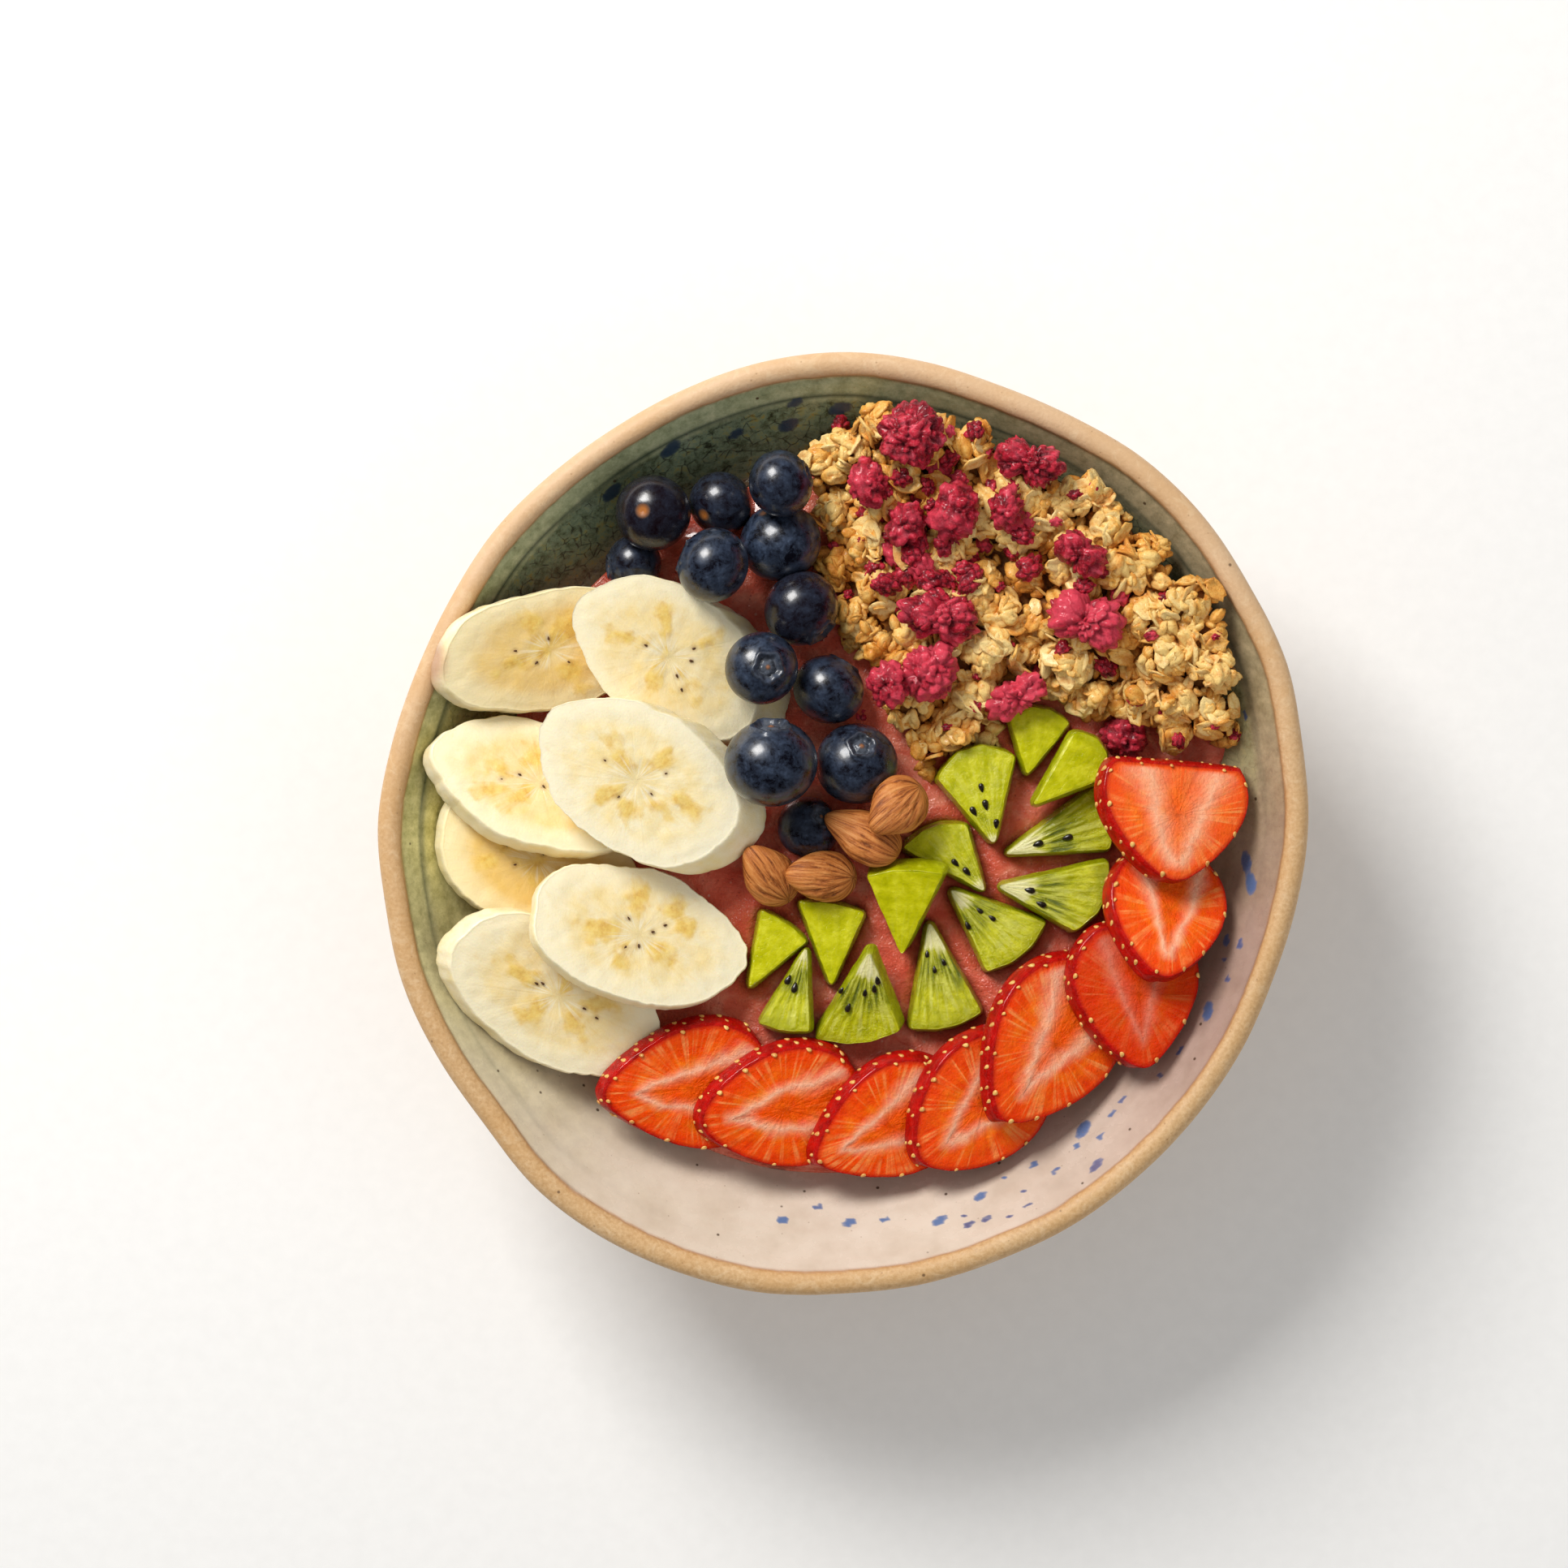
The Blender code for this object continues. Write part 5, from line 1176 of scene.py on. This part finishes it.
def build_crumbs(paint, ground, heap):
    fine, coarse = ball_mesh(4), ball_mesh(3)
    draw = random.Random(5)
    spots = list(CRUMBS)
    low, high = (np.array(corner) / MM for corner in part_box("granola"))
    while len(spots) < len(CRUMBS) + LOOSE_CRUMBS:
        x, y = draw.uniform(low[0], high[0]), draw.uniform(low[1], high[1])
        if height_of(heap, x, y) and all(math.hypot(x - ox, y - oy) > 3.4 for ox, oy, _ in spots):
            spots.append((x, y, draw.uniform(1.4, 3.4)))
    bodies = []
    for number, (x, y, size) in enumerate(spots):
        z = height_of(ground, x, y) or SMOOTHIE_TOP
        ball, faces, _ = fine if size > 3.9 else coarse
        half = size / 2 * np.array([draw.uniform(*ends) for ends in ((0.85, 1.15), (0.6, 0.95), (0.55, 0.8))])
        turn = Matrix.Rotation(draw.uniform(0, math.tau), 3, "Z")
        turn = turn @ Matrix.Rotation(draw.uniform(-0.6, 0.6), 3, "X")
        bead, _ = drupelets(bent(ball, 0.2, ball * 2 + number * 3, 1.1, 111), int(7 + size * 3), number)
        reach = 1 + 1.24 / size * (bead - 0.4) + 0.26 * cloud(ball * 3 + number * 5, 1.3, 91)
        middle = [x, y, z + half[2] * 0.45 + 1.5 * (z > SMOOTHIE_TOP + 2)]
        points = (ball * reach[:, None] * half) @ np.array(turn).T + middle
        # The bead mask darkens the grooves between the beads, as painted shade.
        bodies.append((points, faces, {"bead": bead, "tint": draw.random() ** 1.6}))
    add_bodies("raspberry_crumbs", bodies, paint)


# ---- the granola ----

# Clusters of granola beyond the heap: x, y, radius.
GRANOLA_CLUSTERS = (
    (2.6, 41.2, 4.0), (8.6, 38.4, 4.0), (31.2, 20.4, 4.2), (55.4, 26.6, 4.6), (61.6, 26.4, 4.0),
    (82.6, 20.2, 3.8), (-0.6, 64.6, 3.8), (0.6, 56.4, 4.0), (19.3, 12.2, 2.4), (24.6, 17.2, 3.6),
    (47.8, 30.6, 4.0), (69.5, 24.0, 3.4),
)
# The core's colour: a dark toasted brown, darkened further as painted shade for the gaps between the oats.
DARK_OAT_GAP_SHADE = (0.15, (84, 46, 18), 0.45, (134, 82, 34), 0.75, (178, 118, 54))
HONEY_OAT = (0.12, (156, 84, 24), 0.28, (220, 142, 50), 0.47, (240, 176, 78), 0.74, (252, 214, 132))
PALE_OAT = (0.12, (170, 100, 36), 0.28, (226, 156, 64), 0.47, (242, 188, 96), 0.74, (254, 224, 152))


def oat_paint(name, stops, smoothest, roughest):
    paint = Paint(name, Specular_IOR_Level=0.35, Coat_Weight=0.25, Coat_Roughness=0.12)
    spot = paint.place("spot")
    broad, fine = spot.noise(1.6, 4, 0.65), spot.noise(0.4, 4, 0.75)
    colour = layered(
        (paint.masks("tint")[0] * 0.55 + broad * 0.55).ramp(*stops),
        (spot.noise(4.5, 3, 0.6).ramp(0.52, 0.0, 0.64, 0.70), (222, 138, 40)),
        (fine.ramp(0.54, 0.0, 0.72, 1.0) * 0.18, (250, 224, 164)),
        (fine.ramp(0.28, 1.0, 0.46, 0.0) * 0.55, (132, 70, 20)),
    )
    return paint.finish(colour, broad.ramp(0.3, smoothest, 0.7, roughest), fine + broad, 0.20)


def heap_spots(count, seed, least_rise):
    """Places spread over the heap's solid by area, and on its clusters rather than between them.

    With them go their normals, how far they stand up, and the source of chance.
    """
    points, triangles = cad_shape("granola")
    first, second, third, area, normals = sides_of(points, triangles)
    area = np.where(normals[:, 2] > 0.05, area, 0)
    draw = np.random.default_rng(seed)
    pick = draw.choice(len(area), count, p=area / area.sum())
    shares = draw.random((2, count))
    a, b = np.where(shares.sum(0) > 1, 1 - shares, shares)[..., None]
    places = first[pick] + a * (second - first)[pick] + b * (third - first)[pick]
    apart = np.linalg.norm(places[:, None, :2] - places[None, :, :2], axis=-1) < 6.5
    rise = places[:, 2] - (apart @ places[:, 2]) / apart.sum(1)
    keep = rise > least_rise
    return places[keep], normals[pick][keep], rise[keep], draw


def cluster_spots(count, seed, ground):
    """Places on little domes at the clusters beyond the heap, with the same as the heap's."""
    draw = np.random.default_rng(seed)
    places, normals = [], []
    for x, y, radius in GRANOLA_CLUSTERS:
        for _ in range(int(count * (radius / 4) ** 2)):
            way = unit(draw.normal(0, 1, 3))
            way[2] = abs(way[2])
            spot = [x + way[0] * radius * 0.8, y + way[1] * radius * 0.8]
            floor = height_of(ground, *spot) or SMOOTHIE_TOP
            places.append([*spot, floor + 0.6 + way[2] * radius * 0.7])
            normals.append(way)
    return np.array(places), np.array(normals), np.full(len(places), 0.5), draw


def scattered(name, shapes, spots, sizes, tilt, sink, material):
    """Copies of small shapes laid on the spots, each turned, tilted and sized at random, as one piece."""
    *spots, draw = spots
    bodies = []
    for number, (place, normal, rise) in enumerate(zip(*spots)):
        shape, faces = shapes[number % len(shapes)]
        size = draw.uniform(*sizes)
        up = unit(normal + draw.normal(0, tilt, 3))
        way = unit(np.cross(up, draw.normal(0, 1, 3)))
        scale = size * np.array([1, draw.uniform(0.8, 1.1), draw.uniform(0.85, 1.2)])
        points = place + (shape * scale) @ np.array([way, np.cross(up, way), up]) + up * size * sink
        # Painted light and shade: a spot that stands above its neighbours is lighter, one in a hollow darker;
        # the rest of the tone varies at random.
        tone = 0.37 + 0.5 * cloud(place, 10, 99) + 0.12 * rise + 0.5 * draw.random()
        # Partly toasting and partly painted shade: each oat is browner at its edge and along the crease on
        # its top.
        flat, wide = shape[:, 0] / 0.5, shape[:, 1] / 0.36
        toasted_and_shaded = 0.55 * band(np.hypot(flat, wide), 0.72, 1.1)
        toasted_and_shaded = toasted_and_shaded + 0.45 * bell(wide - 0.1 * flat, 0.16) * (shape[:, 2] > 0)
        bodies.append((points, faces, {"tint": np.clip(tone - toasted_and_shaded * draw.uniform(0.6, 1.1), 0, 1)}))
    add_bodies(name, bodies, material)


def oat_flake(seed):
    """A rolled oat of length 1: a thin uneven oval with a crease along it and a curled edge."""
    draw = random.Random(seed)
    turn = np.arange(14) / 14 * math.tau
    lobes = ((0.10, 2), (0.07, 5), (0.05, 7))
    uneven = 1 + sum(depth * np.sin(count * turn + draw.uniform(0, 6)) for depth, count in lobes)
    curl = draw.uniform(-0.22, 0.22)
    rings = []
    for share, lift in ((0.35, 0.035), (0.72, 0.055), (0.95, 0.04), (1, 0), (0.93, -0.045), (0.5, -0.055)):
        x, y, _ = polar(share * uneven, turn, 0).T * [[0.5], [0.36], [0]]
        crease = -0.05 * bell(y, 0.05) * (lift > 0)
        z = lift + crease + curl * (x * x + 0.8 * y * y) + 0.02 * np.sin(9 * x + seed) * share
        rings.append(np.stack([x, y, z], -1))
    points, faces = ring_mesh(np.array(rings))
    halves = [[face[:3], [face[0], *face[2:]]] if len(face) == 4 else [face] for face in faces]
    return points, np.array(sum(halves, []))


def oat_crumb(seed, fineness):
    """A puffed bit of oat of length 1, with a crease along it."""
    ball, faces, _ = ball_mesh(fineness)
    lump = 1 + 0.28 * cloud(ball * 1.2 + seed * 3.7, 1, seed)
    lump = lump + 0.14 * cloud(ball * 3 + seed * 1.7, 1, seed + 9)
    lump = lump - 0.34 * bell(ball[:, 1] - 0.15 * ball[:, 0], 0.16) * (ball[:, 2] > 0)
    return ball * lump[:, None] * [0.5, 0.36, 0.27], faces


def build_granola(ground):
    """The heap's own core, under clusters of broken oats and whole rolled oats."""
    points, triangles = cad_shape("granola")
    shape = bmesh.new()
    verts = [shape.verts.new(point) for point in points]
    for triangle in triangles:
        shape.faces.new([verts[corner] for corner in triangle])
    bmesh.ops.subdivide_edges(shape, edges=shape.edges, cuts=2, use_grid_fill=True)
    bmesh.ops.triangulate(shape, faces=shape.faces)
    shape.normal_update()
    core = np.array([vertex.co for vertex in shape.verts])
    outward = np.array([vertex.normal for vertex in shape.verts])
    faces = np.array([[vertex.index for vertex in face.verts] for face in shape.faces])
    shape.free()
    core = core + outward * (0.5 * clouds(core, 2.2, 95) - 0.9)[:, None]
    masks = {"spot": core, "tint": 0.3 + 0.3 * cloud(core, 3, 97)}
    # Partly painted shade: the core is darker than the oats on it, so the gaps between them read as shadow.
    material = oat_paint("granola_crumb", DARK_OAT_GAP_SHADE, 0.6, 0.8)
    add_piece("granola_core", core, faces, material, masks, "granola")
    bits = [oat_crumb(seed, 3) for seed in range(12)]
    small_bits = [oat_crumb(seed, 2) for seed in range(12)]
    flakes = [oat_flake(seed) for seed in range(12)]
    outer = oat_paint("oat_outer_cluster", HONEY_OAT, 0.28, 0.5)
    fine = ("oat_crumb", HONEY_OAT, 0.45, 0.7)
    coarse = ("oat_cluster", HONEY_OAT, 0.28, 0.5)
    pale = ("oat_flake", PALE_OAT, 0.45, 0.7)
    for name, shapes, spots, sizes, tilt, sink, paint in (
        ("granola_crumbs", small_bits, heap_spots(1100, 5, -9), (2.4, 4.4), 0.5, 0, fine),
        ("granola_clusters", bits, heap_spots(820, 3, -0.7), (3.2, 6.2), 0.38, 0.08, coarse),
        ("granola_flakes", flakes, heap_spots(860, 7, -0.5), (4.2, 6.8), 0.5, 0.16, pale),
    ):
        scattered(name, shapes, spots, sizes, tilt, sink, oat_paint(*paint))
    spots = cluster_spots(18, 9, ground)
    scattered("granola_outer_clusters", small_bits + flakes[:6], spots, (3.0, 5.2), 0.4, 0, outer)


# ---- the stage ----


def build_stage():
    bpy.ops.mesh.primitive_plane_add(size=12, location=(0, 0, -0.0002))
    floor = bpy.context.object
    floor.name = "floor"
    paint = Paint("floor_paper")
    grain = paint.wire("Object", "ShaderNodeTexCoord", {}).noise(0.004, 3)
    colour = grain.ramp(0.3, (243, 243, 242), 0.7, (246, 246, 245))
    floor.data.materials.append(paint.finish(colour, 0.8, grain, 0.02))
    world = bpy.data.worlds.new("studio")
    world.use_nodes = True
    background = world.node_tree.nodes["Background"]
    background.inputs["Color"].default_value = (1.0, 0.985, 0.965, 1)
    background.inputs["Strength"].default_value = 0.36
    world.cycles_visibility.glossy = False
    bpy.context.scene.world = world
    for name, place, size, power, colour, strength in (
        ("key", (-0.55, 0.75, 0.85), 0.5, 16.0, (1.0, 0.98, 0.95), 1.0),
        ("fill", (0.7, -0.5, 0.8), 1.0, 2.6, (0.97, 0.98, 1.0), 0.0),
    ):
        light = bpy.data.lights.new(name, "AREA")
        light.size = size
        light.energy = power
        light.color = colour
        light.specular_factor = strength
        lamp = bpy.data.objects.new(name, light)
        lamp.visible_glossy = strength > 0
        lamp.location = place
        lamp.rotation_euler = (Vector((0, 0, 0.05)) - Vector(place)).to_track_quat("-Z", "Y").to_euler()
        bpy.context.scene.collection.objects.link(lamp)
    camera_data = bpy.data.cameras.new("camera")
    camera_data.sensor_width = 36
    camera_data.lens = 96.26
    camera_data.clip_start = 0.05
    camera_data.clip_end = 20
    camera = bpy.data.objects.new("camera", camera_data)
    camera.location = (-0.01272, 0.00854, 0.962)
    bpy.context.scene.collection.objects.link(camera)
    bpy.context.scene.camera = camera
    settings = bpy.context.scene.view_settings
    settings.view_transform = "Standard"
    settings.look = "None"


for old in [o for o in bpy.data.objects if o.name in ("Cube", "Light", "Camera")]:
    bpy.data.objects.remove(old)
build_stage()
build_bowl()
lying = [name for name in frame["nodes"] if name not in ("bowl", "smoothie", "granola")]
build_smoothie(cad_tree(*lying))
build_bananas()
build_strawberries()
build_kiwis()
build_blueberries()
build_almonds()
dried = raspberry_paint()
build_raspberries(dried)
ground = cad_tree("granola", "smoothie", "bowl")
build_granola(ground)
build_crumbs(dried, ground, cad_tree("granola"))

bpy.context.view_layer.update()
